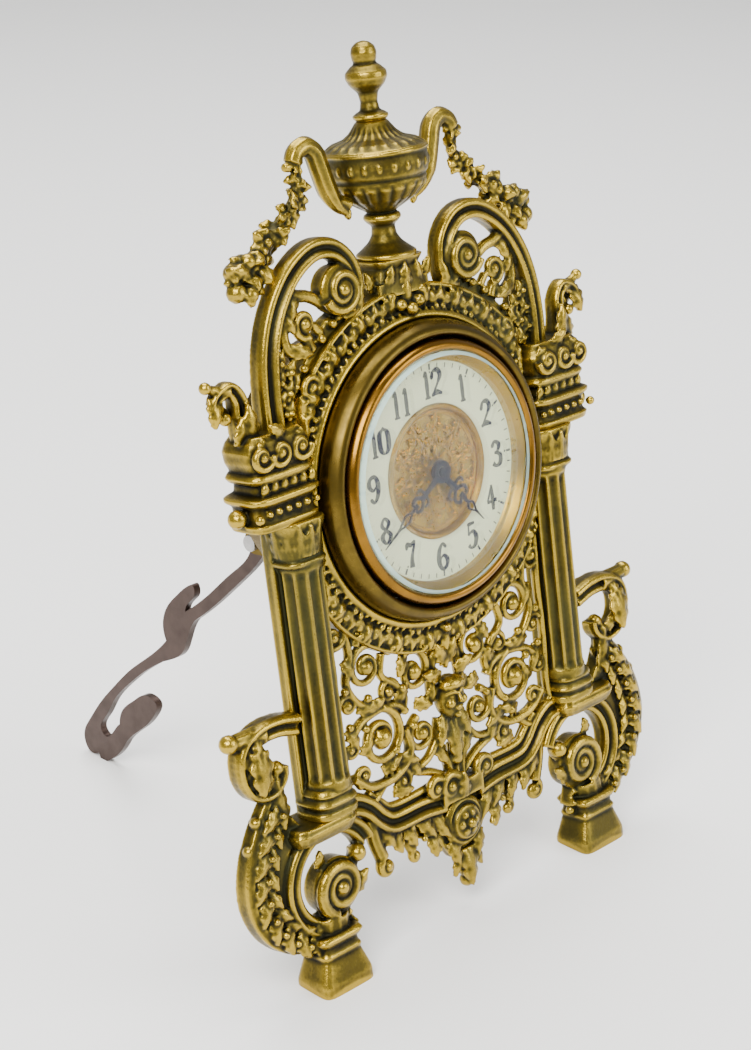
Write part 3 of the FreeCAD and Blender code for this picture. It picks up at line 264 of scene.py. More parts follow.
def plate(points, back, front):
    n = len(points)
    v = [(x, y, back) for x, y in points] + [(x, y, front) for x, y in points]
    faces = [list(range(n))[::-1], [i + n for i in range(n)]]
    faces += [[i, (i + 1) % n, (i + 1) % n + n, i + n] for i in range(n)]
    return np.array(v, float), faces


def upright(shape, by=(0, 0, 0)):
    v, f = shape
    return np.array(v)[:, (0, 2, 1)] + np.array(by, float), [face[::-1] for face in f]


# Meshes and Geometry Nodes

def meshFrom(shape, name="work"):
    v, f = shape
    mesh = bpy.data.meshes.new(name)
    mesh.from_pydata(np.asarray(v).tolist(), [], [list(map(int, face)) for face in f])
    mesh.validate()
    return mesh


def shapeFrom(mesh):
    v = np.empty(len(mesh.vertices) * 3, np.float32)
    mesh.vertices.foreach_get("co", v)
    return v.reshape(-1, 3).astype(float), [list(p.vertices) for p in mesh.polygons]


def evaluatedMesh(thing):
    bpy.context.view_layer.update()
    graph = bpy.context.evaluated_depsgraph_get()
    return bpy.data.meshes.new_from_object(thing.evaluated_get(graph))


def shown(mesh, name="work"):
    thing = bpy.data.objects.new(name, mesh)
    bpy.context.scene.collection.objects.link(thing)
    return thing


def thrownAway(*things):
    for thing in things:
        data = thing.data
        bpy.data.objects.remove(thing)
        if isinstance(data, bpy.types.Mesh) and not data.users:
            bpy.data.meshes.remove(data)


def newTree(name, inputs):
    tree = bpy.data.node_groups.new(name, "GeometryNodeTree")
    tree.interface.new_socket("Geometry", in_out="OUTPUT", socket_type="NodeSocketGeometry")
    ids = {}
    for label, kind, value in inputs:
        item = tree.interface.new_socket(label, in_out="INPUT", socket_type="NodeSocket" + kind)
        if value is not None:
            item.default_value = value
        ids[label] = item.identifier
    start = tree.nodes.new("NodeGroupInput")
    end = tree.nodes.new("NodeGroupOutput")
    return tree, ids, start, end


def nodeIn(tree, kind, **values):
    node = tree.nodes.new(kind)
    for key, value in values.items():
        setattr(node, key, value)
    return node


# each wire is a node, its output, the next node and its input
def wired(tree, wires):
    for source, outlet, target, inlet in wires:
        tree.links.new(source.outputs[outlet], target.inputs[inlet])


# the same motif stood round a ring, each turned to face out from the middle
def roundRepeatTree():
    tree, ids, start, end = newTree("repeat round a ring", [
        ("Motif", "Object", None), ("Count", "Int", 12), ("Radius", "Float", 10.0),
        ("Turn", "Float", 0.0), ("Size", "Float", 1.0), ("Metal", "Material", None)])
    circle = nodeIn(tree, "GeometryNodeMeshCircle")
    stand = nodeIn(tree, "GeometryNodeInstanceOnPoints")
    motif = nodeIn(tree, "GeometryNodeObjectInfo")
    where = nodeIn(tree, "GeometryNodeInputPosition")
    face = nodeIn(tree, "FunctionNodeAlignRotationToVector", axis="X", pivot_axis="Z")
    whole = nodeIn(tree, "GeometryNodeTransform")
    spin = nodeIn(tree, "ShaderNodeCombineXYZ")
    real = nodeIn(tree, "GeometryNodeRealizeInstances")
    metal = nodeIn(tree, "GeometryNodeSetMaterial")
    wired(tree, [
        (start, "Count", circle, "Vertices"), (start, "Radius", circle, "Radius"),
        (start, "Motif", motif, "Object"), (circle, "Mesh", stand, "Points"),
        (motif, "Geometry", stand, "Instance"), (where, "Position", face, "Vector"),
        (face, "Rotation", stand, "Rotation"), (start, "Size", stand, "Scale"),
        (stand, "Instances", whole, "Geometry"), (start, "Turn", spin, "Z"),
        (spin, "Vector", whole, "Rotation"), (whole, "Geometry", real, "Geometry"),
        (real, "Geometry", metal, "Geometry"), (start, "Metal", metal, "Material"),
        (metal, "Geometry", end, "Geometry")])
    return tree, ids


tumble = (0.7, 0.7, 3.1)  # how far a strung motif may turn about x, y and z


# a motif strung along a line of points, growing from one end to the other, each at its own turn
def strungTree():
    tree, ids, start, end = newTree("string along a line", [
        ("Motif", "Object", None), ("Line", "Object", None), ("Small", "Float", 0.6),
        ("Large", "Float", 1.0), ("Seed", "Int", 1), ("Metal", "Material", None)])
    line = nodeIn(tree, "GeometryNodeObjectInfo")
    motif = nodeIn(tree, "GeometryNodeObjectInfo")
    points = nodeIn(tree, "GeometryNodeMeshToPoints")
    stand = nodeIn(tree, "GeometryNodeInstanceOnPoints")
    turn = nodeIn(tree, "FunctionNodeRandomValue", data_type="FLOAT_VECTOR")
    index = nodeIn(tree, "GeometryNodeInputIndex")
    total = nodeIn(tree, "GeometryNodeAttributeDomainSize", component="POINTCLOUD")
    share = nodeIn(tree, "ShaderNodeMath", operation="DIVIDE")
    grow = nodeIn(tree, "ShaderNodeMapRange")
    real = nodeIn(tree, "GeometryNodeRealizeInstances")
    metal = nodeIn(tree, "GeometryNodeSetMaterial")
    turn.inputs[0].default_value = [-angle for angle in tumble]
    turn.inputs[1].default_value = tumble
    wired(tree, [
        (start, "Line", line, "Object"), (start, "Motif", motif, "Object"),
        (line, "Geometry", points, "Mesh"), (points, "Points", stand, "Points"),
        (points, "Points", total, "Geometry"), (motif, "Geometry", stand, "Instance"),
        (start, "Seed", turn, "Seed"), (turn, 0, stand, "Rotation"), (index, 0, share, 0),
        (total, "Point Count", share, 1), (share, 0, grow, "Value"),
        (start, "Small", grow, "To Min"), (start, "Large", grow, "To Max"),
        (grow, "Result", stand, "Scale"), (stand, "Instances", real, "Geometry"),
        (real, "Geometry", metal, "Geometry"), (start, "Metal", metal, "Material"),
        (metal, "Geometry", end, "Geometry")])
    return tree, ids


roundRepeat, strung = roundRepeatTree(), strungTree()


def grown(tree, values):
    group, ids = tree
    host = shown(meshFrom(block((0, 0, 0), (1, 1, 1)), "host"))
    modifier = host.modifiers.new("repeat", "NODES")
    modifier.node_group = group
    for label, value in values.items():
        modifier[ids[label]] = value
    mesh = evaluatedMesh(host)
    host.modifiers.clear()
    thrownAway(host)
    return mesh


# the motif points along x, which becomes the way out from the middle
def roundTheRing(motif, count, radius, turn=0.0, size=1.0, metal=None):
    source = shown(meshFrom(joined(motif), "motif"))
    mesh = grown(roundRepeat, {"Motif": source, "Count": count, "Radius": float(radius),
                               "Turn": math.radians(turn), "Size": float(size), "Metal": metal})
    shape = shapeFrom(mesh)
    bpy.data.meshes.remove(mesh)
    thrownAway(source)
    return shape


def strungAlong(motif, path, small, large, seed):
    source = shown(meshFrom(joined(motif), "motif"))
    line = shown(meshFrom((path, []), "line"))
    mesh = grown(strung, {"Motif": source, "Line": line, "Small": small, "Large": large,
                          "Seed": seed})
    shape = shapeFrom(mesh)
    bpy.data.meshes.remove(mesh)
    thrownAway(source, line)
    return shape


reliefMix = {"fineShare": 0.45, "broadShare": 0.75, "fineDepth": 0.3, "fineReach": 3, "ease": 2}


# how far each point stands proud of, or lies below, the metal around it, from 0 to 1, kept in
# the attribute relief, which the finishes read
def noteRelief(mesh, reach=14, depth=0.5):
    n, mix = len(mesh.vertices), reliefMix
    co = np.empty(n * 3, np.float32)
    mesh.vertices.foreach_get("co", co)
    co = co.reshape(-1, 3).astype(float)
    normal = np.empty(n * 3, np.float32)
    mesh.vertex_normals.foreach_get("vector", normal)
    normal = normal.reshape(-1, 3)
    edge = np.empty(len(mesh.edges) * 2, np.int32)
    mesh.edges.foreach_get("vertices", edge)
    a, b = edge.reshape(-1, 2).T
    ends, others = np.concatenate((a, b)), np.concatenate((b, a))
    near = np.maximum(np.bincount(ends, minlength=n), 1)[:, None]

    def mixed(values, times):
        for _ in range(times):
            total = np.stack([np.bincount(ends, values[others, k], n)
                              for k in range(values.shape[1])], 1)
            values = 0.5 * values + 0.5 * total / near
        return values

    fine = ((co - mixed(co, mix["fineReach"])) * normal).sum(1) / (depth * mix["fineDepth"])
    broad = ((co - mixed(co, reach * 2)) * normal).sum(1) / depth
    relief = mix["fineShare"] * fine + mix["broadShare"] * broad
    relief = mixed(relief[:, None], mix["ease"])[:, 0]
    attribute = mesh.attributes.new("relief", "FLOAT", "POINT")
    attribute.data.foreach_set("value", np.clip(0.5 + relief, 0, 1).astype(np.float32))


def flattened(mesh, cuts):
    work = bmesh.new()
    work.from_mesh(mesh)
    for point, normal in cuts:
        everything = work.verts[:] + work.edges[:] + work.faces[:]
        bmesh.ops.bisect_plane(work, geom=everything, dist=1e-5, plane_co=point,
                               plane_no=normal, clear_outer=True)
        open_ = [e for e in work.edges if e.is_boundary]
        filled = bmesh.ops.holes_fill(work, edges=open_)["faces"]
        bmesh.ops.triangulate(work, faces=filled)
    bmesh.ops.recalc_face_normals(work, faces=work.faces[:])
    work.to_mesh(mesh)
    work.free()


# shapes melted together into one casting: one skin, softened as a sand casting is
def cast(shapes, grain=0.45, soft=2, cuts=()):
    work = shown(meshFrom(joined(shapes), "casting"))
    skin = work.modifiers.new("one skin", "REMESH")
    skin.mode, skin.voxel_size, skin.use_smooth_shade = "VOXEL", grain, True
    if soft:
        ease = work.modifiers.new("ease", "SMOOTH")
        ease.factor, ease.iterations = 0.5, soft
    mesh = evaluatedMesh(work)
    work.modifiers.clear()
    thrownAway(work)
    if cuts:
        flattened(mesh, cuts)
    mesh.shade_smooth()
    noteRelief(mesh)
    return mesh


def mirroredMesh(mesh):
    other = mesh.copy()
    other.transform(Matrix.Diagonal((-1, 1, 1, 1)))
    other.flip_normals()
    return other


def turnedMesh(shapes, crease=35, relief=True):
    mesh = meshFrom(joined(shapes))
    work = bmesh.new()
    work.from_mesh(mesh)
    bmesh.ops.remove_doubles(work, verts=work.verts[:], dist=1e-4)
    bmesh.ops.recalc_face_normals(work, faces=work.faces[:])
    work.to_mesh(mesh)
    work.free()
    mesh.shade_smooth()
    mesh.set_sharp_from_angle(angle=math.radians(crease))
    if relief:
        noteRelief(mesh, 4, 1.2)
    return mesh


def finished(name, mesh, body, nodes, slotName, *materials):
    mesh.transform(place)
    mesh.name = name
    mesh.materials.clear()
    for material in materials:
        mesh.materials.append(material)
    piece = shown(mesh, name)
    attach(piece, body)
    if nodes:
        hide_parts(*nodes)
    return piece


# Finishes

def inputValue(node, values):
    for key, value in values.items():
        node.inputs[key].default_value = value


def shaderGroup(name, inputs, outputs):
    group = bpy.data.node_groups.new(name, "ShaderNodeTree")
    for label, kind, value in inputs:
        item = group.interface.new_socket(label, in_out="INPUT", socket_type="NodeSocket" + kind)
        item.default_value = value
    for label, kind in outputs:
        group.interface.new_socket(label, in_out="OUTPUT", socket_type="NodeSocket" + kind)
    return group, group.nodes.new("NodeGroupInput"), group.nodes.new("NodeGroupOutput")


# gilding on a casting: dark in the recesses, partly patina and partly painted shade, worn bright on the edges,
# green here and there
def patinaGroup():
    group, start, end = shaderGroup("gilding with patina and painted shade", [
        ("Relief", "Float", 0.5), ("Hollow Patina And Shade", "Color", (0.03, 0.02, 0.01, 1)),
        ("Metal", "Color", (0.3, 0.2, 0.06, 1)), ("Edge", "Color", (0.7, 0.5, 0.15, 1)),
        ("Green", "Color", (0.1, 0.12, 0.07, 1)), ("Green Amount", "Float", 0.4),
        ("Patches", "Float", 70.0), ("Grain", "Float", 900.0), ("Dull", "Float", 0.6),
        ("Bright", "Float", 0.3)],
        [("Color", "Color"), ("Roughness", "Float"), ("Height", "Float")])
    spot = nodeIn(group, "ShaderNodeTexCoord")
    patches = nodeIn(group, "ShaderNodeTexNoise")
    broad = nodeIn(group, "ShaderNodeTexNoise")
    grain = nodeIn(group, "ShaderNodeTexNoise")
    inputValue(patches, {"Detail": 4.0, "Roughness": 0.65})
    inputValue(broad, {"Scale": 23.0, "Detail": 2.0})
    inputValue(grain, {"Detail": 3.0, "Roughness": 0.6})
    stir = nodeIn(group, "ShaderNodeMath", operation="MULTIPLY_ADD")
    stir.inputs[1].default_value = 0.55
    fine = nodeIn(group, "ShaderNodeMath", operation="MULTIPLY_ADD")
    fine.inputs[1].default_value = 0.25
    # the recess mask: where relief is low the colour turns to the recess colour, patina with painted shade over it
    hollowPatinaAndShade = nodeIn(group, "ShaderNodeMapRange")
    inputValue(hollowPatinaAndShade, {"From Min": 0.52, "From Max": 0.92})
    edge = nodeIn(group, "ShaderNodeMapRange")
    inputValue(edge, {"From Min": 0.92, "From Max": 1.35})
    low = nodeIn(group, "ShaderNodeMix", data_type="RGBA")
    high = nodeIn(group, "ShaderNodeMix", data_type="RGBA")
    aged = nodeIn(group, "ShaderNodeMix", data_type="RGBA")
    where = nodeIn(group, "ShaderNodeMapRange")
    inputValue(where, {"From Min": 0.42, "From Max": 0.66})
    amount = nodeIn(group, "ShaderNodeMath", operation="MULTIPLY")
    rough = nodeIn(group, "ShaderNodeMapRange")
    inputValue(rough, {"From Min": 0.6, "From Max": 1.3})
    wired(group, [
        (spot, "Object", patches, "Vector"), (spot, "Object", broad, "Vector"),
        (spot, "Object", grain, "Vector"), (start, "Patches", patches, "Scale"),
        (start, "Grain", grain, "Scale"), (patches, 0, stir, 0), (start, "Relief", stir, 2),
        (grain, 0, fine, 0), (stir, 0, fine, 2), (fine, 0, hollowPatinaAndShade, "Value"),
        (fine, 0, edge, "Value"), (hollowPatinaAndShade, 0, low, "Factor"), (start, "Hollow Patina And Shade", low, 6),
        (start, "Metal", low, 7), (edge, 0, high, "Factor"), (low, 2, high, 6),
        (start, "Edge", high, 7), (broad, 0, where, "Value"), (where, 0, amount, 0),
        (start, "Green Amount", amount, 1), (amount, 0, aged, "Factor"), (high, 2, aged, 6),
        (start, "Green", aged, 7), (aged, 2, end, "Color"), (fine, 0, rough, "Value"),
        (start, "Dull", rough, "To Min"), (start, "Bright", rough, "To Max"),
        (rough, 0, end, "Roughness"), (grain, 0, end, "Height")])
    return group


# a lathe's or a hand's faint marks in plain metal
def rubbedGroup():
    group, start, end = shaderGroup("rubbed metal", [
        ("Metal", "Color", (0.5, 0.4, 0.2, 1)), ("Stain", "Color", (0.2, 0.15, 0.08, 1)),
        ("Scale", "Float", 120.0), ("Amount", "Float", 0.4), ("Smooth", "Float", 0.2),
        ("Rough", "Float", 0.45)],
        [("Color", "Color"), ("Roughness", "Float"), ("Height", "Float")])
    spot = nodeIn(group, "ShaderNodeTexCoord")
    stain = nodeIn(group, "ShaderNodeTexNoise")
    inputValue(stain, {"Detail": 5.0, "Roughness": 0.62})
    spread = nodeIn(group, "ShaderNodeMapRange")
    inputValue(spread, {"From Min": 0.35, "From Max": 0.72})
    amount = nodeIn(group, "ShaderNodeMath", operation="MULTIPLY")
    colour = nodeIn(group, "ShaderNodeMix", data_type="RGBA")
    rough = nodeIn(group, "ShaderNodeMapRange")
    wired(group, [
        (spot, "Object", stain, "Vector"), (start, "Scale", stain, "Scale"),
        (stain, 0, spread, "Value"), (spread, 0, amount, 0), (start, "Amount", amount, 1),
        (amount, 0, colour, "Factor"), (start, "Metal", colour, 6), (start, "Stain", colour, 7),
        (colour, 2, end, "Color"), (spread, 0, rough, "Value"),
        (start, "Smooth", rough, "To Min"), (start, "Rough", rough, "To Max"),
        (rough, 0, end, "Roughness"), (stain, 0, end, "Height")])
    return group


gildingPatinaAndShade, rubbedMetal = patinaGroup(), rubbedGroup()


def material(name, shader, group=None, values=None, relief=False, bump=0.0):
    made = bpy.data.materials.new(name)
    made.use_nodes = True
    tree = made.node_tree
    surface = tree.nodes["Principled BSDF"]
    inputValue(surface, shader)
    if group:
        look = tree.nodes.new("ShaderNodeGroup")
        look.node_tree = group
        inputValue(look, values)
        tree.links.new(look.outputs["Color"], surface.inputs["Base Color"])
        tree.links.new(look.outputs["Roughness"], surface.inputs["Roughness"])
        if relief:
            proud = nodeIn(tree, "ShaderNodeAttribute", attribute_name="relief")
            tree.links.new(proud.outputs["Fac"], look.inputs["Relief"])
        if bump:
            dents = tree.nodes.new("ShaderNodeBump")
            inputValue(dents, {"Strength": bump, "Distance": 0.0004})
            tree.links.new(look.outputs["Height"], dents.inputs["Height"])
            tree.links.new(dents.outputs["Normal"], surface.inputs["Normal"])
    return made


# the first colour is the recess colour: patina together with painted shade in the recesses
def gilding(name, hollowPatinaAndShade, metal, edge, green=0.35, dull=0.58, bright=0.30, bump=0.35):
    return material(name, {"Metallic": 0.9}, gildingPatinaAndShade, {
        "Hollow Patina And Shade": (*hollowPatinaAndShade, 1), "Metal": (*metal, 1), "Edge": (*edge, 1),
        "Green": (0.045, 0.048, 0.016, 1), "Green Amount": green, "Dull": dull,
        "Bright": bright}, relief=True, bump=bump)


def rubbed(name, metal, stain, amount=0.4, smooth=0.22, rough=0.5, scale=120.0, bump=0.1,
           metallic=1.0):
    return material(name, {"Metallic": metallic}, rubbedMetal, {
        "Metal": (*metal, 1), "Stain": (*stain, 1), "Amount": amount, "Scale": scale,
        "Smooth": smooth, "Rough": rough}, bump=bump)


# each first colour is near black: patina and painted shade in the recesses of the casting
castGilt = gilding("gilt casting with patina and painted shade", (0.007, 0.006, 0.002), (0.078, 0.056, 0.006),
                   (0.42, 0.285, 0.028), dull=0.52, bright=0.22)
columnGilt = gilding("column gilding", (0.009, 0.008, 0.002), (0.098, 0.070, 0.007),
                     (0.40, 0.275, 0.028), green=0.5, dull=0.5, bright=0.24)
dialGilt = gilding("bright dial gilding", (0.012, 0.005, 0.001), (0.15, 0.085, 0.007),
                   (0.58, 0.35, 0.04), green=0.0, dull=0.45, bright=0.2)
bezelBronze = rubbed("bronzed bezel", (0.125, 0.082, 0.014), (0.040, 0.030, 0.008), 0.75, 0.24,
                     0.42)
bezelCopper = rubbed("coppery glass ring", (0.24, 0.115, 0.013), (0.10, 0.052, 0.009), 0.6, 0.16,
                     0.34)
sightGold = rubbed("gold sight ring", (0.30, 0.19, 0.014), (0.17, 0.11, 0.010), 0.45, 0.25, 0.42)
polishedBrass = rubbed("polished brass", (0.40, 0.28, 0.055), (0.2, 0.135, 0.03), 0.5, 0.18, 0.4)
brightSteel = rubbed("bright steel", (0.42, 0.41, 0.40), (0.22, 0.21, 0.20), 0.4, 0.2, 0.42)
bluedSteel = rubbed("blued steel", (0.012, 0.014, 0.024), (0.010, 0.010, 0.014), 0.4, 0.25, 0.4,
                    metallic=0.85)
strutIron = rubbed("dark strut iron", (0.060, 0.036, 0.028), (0.034, 0.021, 0.017), 0.5, 0.32, 0.52,
                   metallic=0.7)
enamel = material("cream enamel", {"Base Color": (0.60, 0.65, 0.40, 1), "Roughness": 0.25,
                                   "Specular IOR Level": 0.25})
numeralInk = material("dark numeral enamel", {"Base Color": (0.012, 0.015, 0.026, 1),
                                             "Roughness": 0.6, "Specular IOR Level": 0.1})
dialGlass = material("dial glass", {"Base Color": (0.99, 1.0, 0.99, 1), "Roughness": 0.0,
                                    "Transmission Weight": 1.0, "IOR": 1.45, "Alpha": 0.12})
glassEdge = material("ground glass edge", {"Base Color": (0.60, 0.90, 0.90, 1), "Roughness": 0.15,
                                           "Transmission Weight": 0.4, "IOR": 1.45,
                                           "Alpha": 0.6})
# painted shade: a near-black ground behind the pierced dial centre, standing for the shade in that recess
paintedShadeGround = material("painted shade ground", {"Base Color": (0.012, 0.009, 0.007, 1), "Roughness": 0.9})
print("finishes made")


# The castings. Each is drawn for the right of the clock and mirrored where there is a pair.
channel = [(-4.4, -4.6), (4.4, -4.6), (4.6, 0.5), (3.9, 2.6), (2.6, 3.4), (1.5, 2.9), (0.9, 2.0),
           (-0.5, 2.0), (-1.2, 3.4), (-2.4, 4.6), (-3.9, 3.8), (-4.6, 1.4)]


def pairOf(kind, shapes, material_, grain=0.45, cuts=()):
    mesh = cast(shapes, grain, cuts=cuts)
    for hand in ("right", "left"):
        node = f"{hand}_{kind}"
        finished(f"{node}_casting", mirroredMesh(mesh) if hand == "left" else mesh.copy(),
                 "clock_case", [node], "cast_brass", material_)
    bpy.data.meshes.remove(mesh)
    print(kind, "cast")


surround = {"bore": 48.2, "outer": 69.0, "edge": 56.5, "motifs": 24, "beads": 84, "grain": 0.5}


def dialSurround():
    s = surround
    base = lathe(rounded([(s["bore"], -6), (s["bore"], 3.6), (55.4, 3.8), (57.0, 5.4), (58.6, 4.6),
                          (59.4, 2.4), (66.4, 0.4), (66.9, 2.4), (68.1, 3.4), (s["outer"], 2.0),
                          (s["outer"], -6)], 0.4), 180, ring=True)
    motif = [leaf((-3.4, 0, 0.8), 0, 8.4, 6.2, 3.0, 3), leaf((-3.2, 8.2, 0.6), 0, 7, 5.0, 2.4, 3)]
    for side in (-1, 1):
        motif += scroll((0.9, side * 4.4), 2.5, 90 * side, side * 1.1, 1.0, 1.7, 0.42)
        motif.append(leaf((-3.0, side * 2.4, 0.7), side * 46, 6.2, 3.8, 2.2, 2))
        motif.append(leaf((3.6, side * 5.6, 0.7), side * 170, 4.6, 3.4, 1.8, 2))
        motif.append(ball((3.7, side * 2.3, 2.0), 1.05))
        motif.append(ball((-2.9, side * 6.2, 2.2), 1.2))
    shapes = [base,
              roundTheRing([moved(m, (0, 0, 1.2)) for m in motif], s["motifs"], 62.8, 7.5),
              roundTheRing([ball((0, 0, 2.3), 0.85, rows=5, around=7)], s["beads"], 66.0),
              roundTheRing([ball((0, 0, 3.6), 0.7, rows=5, around=7)], 110, 59.3)]
    for side in (-1, 1):  # the corners that run on to the shoulders
        for k in range(6):
            shapes.append(leaf((side * (40 + 2.6 * k), 33 + 1.5 * (5 - k), 1.5), 90 - side * 25,
                               9, 4.4, 2.2))
        shapes += scroll((side * 50, 43), 4.6, 200, side * 1.3, 1.3, 2.6)
    shapes += [plate([(-57, 12), (-46, 50), (-30, 62), (-50, 30), (-48, 8)], -6, 1.8),
               plate([(57, 12), (46, 50), (30, 62), (50, 30), (48, 8)], -6, 1.8)]
    top = [leaf((0, 58, 2), 90, 15, 7, 3), leaf((-2.5, 59, 2), 128, 11, 5, 2.4),
           leaf((2.5, 59, 2), 52, 11, 5, 2.4), ball((0, 60.5, 5), 2.5), ball((4.6, 62.6, 4.4), 2.3),
           ball((-4.6, 62.6, 4.4), 2.3), ball((-7.6, 66.2, 3.4), 1.6), ball((7.6, 66.2, 3.4), 1.6)]
    bottom = [leaf((0, -58.5, 2), -90, 12, 6, 2.6), leaf((-2.5, -59, 2), -130, 9, 5, 2.2),
              leaf((2.5, -59, 2), -50, 9, 5, 2.2), ball((0, -61, 4.6), 1.9)]
    edge = s["edge"]
    mesh = cast(shapes + top + bottom, s["grain"],
                cuts=[((edge, 0, 0), (1, 0, 0)), ((-edge, 0, 0), (-1, 0, 0))])
    finished("dial_surround_casting", mesh, "clock_case", ["dial_surround"], "cast_brass", castGilt)
    print("dial surround cast")


dialSurround()

column = {"x": 65.3, "radius": 8.7, "flutes": 11, "foot": -111.0, "neck": -14.7, "w": 1.0}


def columnShapes():
    c = column
    x, w, n = c["x"], c["w"], c["flutes"]

    def flutes(a, r, h):
        inside = np.clip((h - c["foot"] - 13) / 2, 0, 1) * np.clip((c["neck"] - 3 - h) / 2, 0, 1)
        return 1 - 0.17 * np.abs(np.sin(a * n / 2)) ** 0.8 * inside

    heights = [(c["radius"], h) for h in np.linspace(c["foot"] + 10, c["neck"], 60)]
    shapes = [lathe(heights, 168, (x, 0, w), upright=True, wave=flutes),
              block((66.25, -57, -3.6), (19.3, 114, 4.6)),
              block((72.0, -57, -1.2), (2.2, 100, 3.4)),
              stack(x + 1, w - 0.6, [(-111.2, 10.4, 9), (-108.8, 10.4, 9), (-108.2, 9.2, 8.4),
                                     (-107, 9.4, 8.6), (-105.6, 10.6, 9.6), (-104.2, 9.4, 8.8),
                                     (-103.2, 8.6, 8.2), (-102.2, 9.4, 9), (-101, 8.9, 8.7),
                                     (-100, 8.3, 8.1)], 3.2, 48),
              stack(x + 1, w - 0.6, [(-16.5, 8.4, 8.2), (-15.6, 9.4, 9.2), (-14.6, 9.6, 9.4),
                                     (-13.6, 8.6, 8.4), (-6, 8.8, 8.8), (-2.6, 10.2, 9.8),
                                     (-1.4, 10.4, 10.2), (0.2, 10.4, 10.2)], 3.6, 48)]
    band = [leaf((0.0, 0, 0), 0, 12.5, 5.2, 1.8, 3, thick=1.2)]
    for k in range(9):  # leaves round the capital
        a = math.radians(-20 + 27.5 * k)
        piece, f = band[0]
        piece = np.array(piece)
        out = 8.6 + piece[:, 2] + 0.03 * np.maximum(piece[:, 0] - 6, 0) ** 2
        turned = np.column_stack((x + 1 + np.cos(a) * out - np.sin(a) * piece[:, 1],
                                  piece[:, 0] - 13.6,
                                  w + np.sin(a) * out + np.cos(a) * piece[:, 1]))
        shapes.append((turned, f))
    return shapes


pairOf("column", columnShapes(), columnGilt, 0.42)


shoulder = {"x": 72.4, "w": -0.4, "eggs": (60, 86, 4.4), "channel": 0.62}


def shoulderShapes():
    x, w = shoulder["x"], shoulder["w"]
    shapes = [stack(x, w, [(-0.2, 14.6, 9.4), (2.4, 15.4, 10.2), (3.0, 14.2, 9.4), (4.2, 13.8, 9),
                           (8.4, 13.8, 9), (9.2, 14.8, 9.8), (10.2, 16.2, 10.8), (11.6, 16.4, 11),
                           (12.2, 15.2, 10.2), (13.2, 12.4, 8.6), (16.4, 12, 8.2), (17, 13.6, 9.4),
                           (18.6, 14.8, 10.2), (20.0, 13.8, 9.6), (20.8, 12.8, 8.8),
                           (24, 14.2, 9.8), (28, 14.6, 10), (31, 13.4, 9), (33.2, 11.4, 7.6)],
                    4.5, 60),
              ball((89.6, 5.6, 0), 3.5), ball((87, 5.6, 9), 1.8)]
    for k, (px, side) in enumerate(((64.5, 1), (74, -1), (82.5, 1))):
        shapes += scroll((px, 26.4, 9.2), 5.0, 90 + 90 * side, side * 1.35, 1.5, 9.2)
        shapes.append(leaf((px - 4, 31.5, 7.6), -35 * side, 9, 5, 2.4))
    for px in np.arange(*shoulder["eggs"]):
        shapes += [ball((px, 6.4, 8.8), 1.3), leaf((px, 12.2, 7.6), 90, 5.2, 3.6, 1.8)]
    stem = curved([(81, 30), (82.5, 38), (82.6, 46), (86, 50.6), (91, 49), (93.4, 46)], 26)
    shapes.append(sweep(stem, np.array(channel) * shoulder["channel"], np.linspace(1.35, 0.75, 26)))
    shapes += [tube(curved([(86, 50), (91.4, 51.2), (95.6, 53.2)], 10), np.linspace(2.6, 1.5, 10)),
               ball((95.8, 53.2, 0), 2.3), leaf((92.5, 50, 0), -78, 11.5, 7.5, 3.4),
               leaf((91, 49, -3.2), -95, 10.5, 6, 3, curl=-50), ball((89, 40.8, 0), 2.4),
               leaf((80, 30, 3), 84, 15, 7, 2.6), leaf((86, 30, 2), 100, 11, 6, 2.6)]
    return shapes


pairOf("shoulder", shoulderShapes(), castGilt)


topArch = {"eye": (31.5, 73.8), "channel": (0.92, 0.8), "steps": 64}


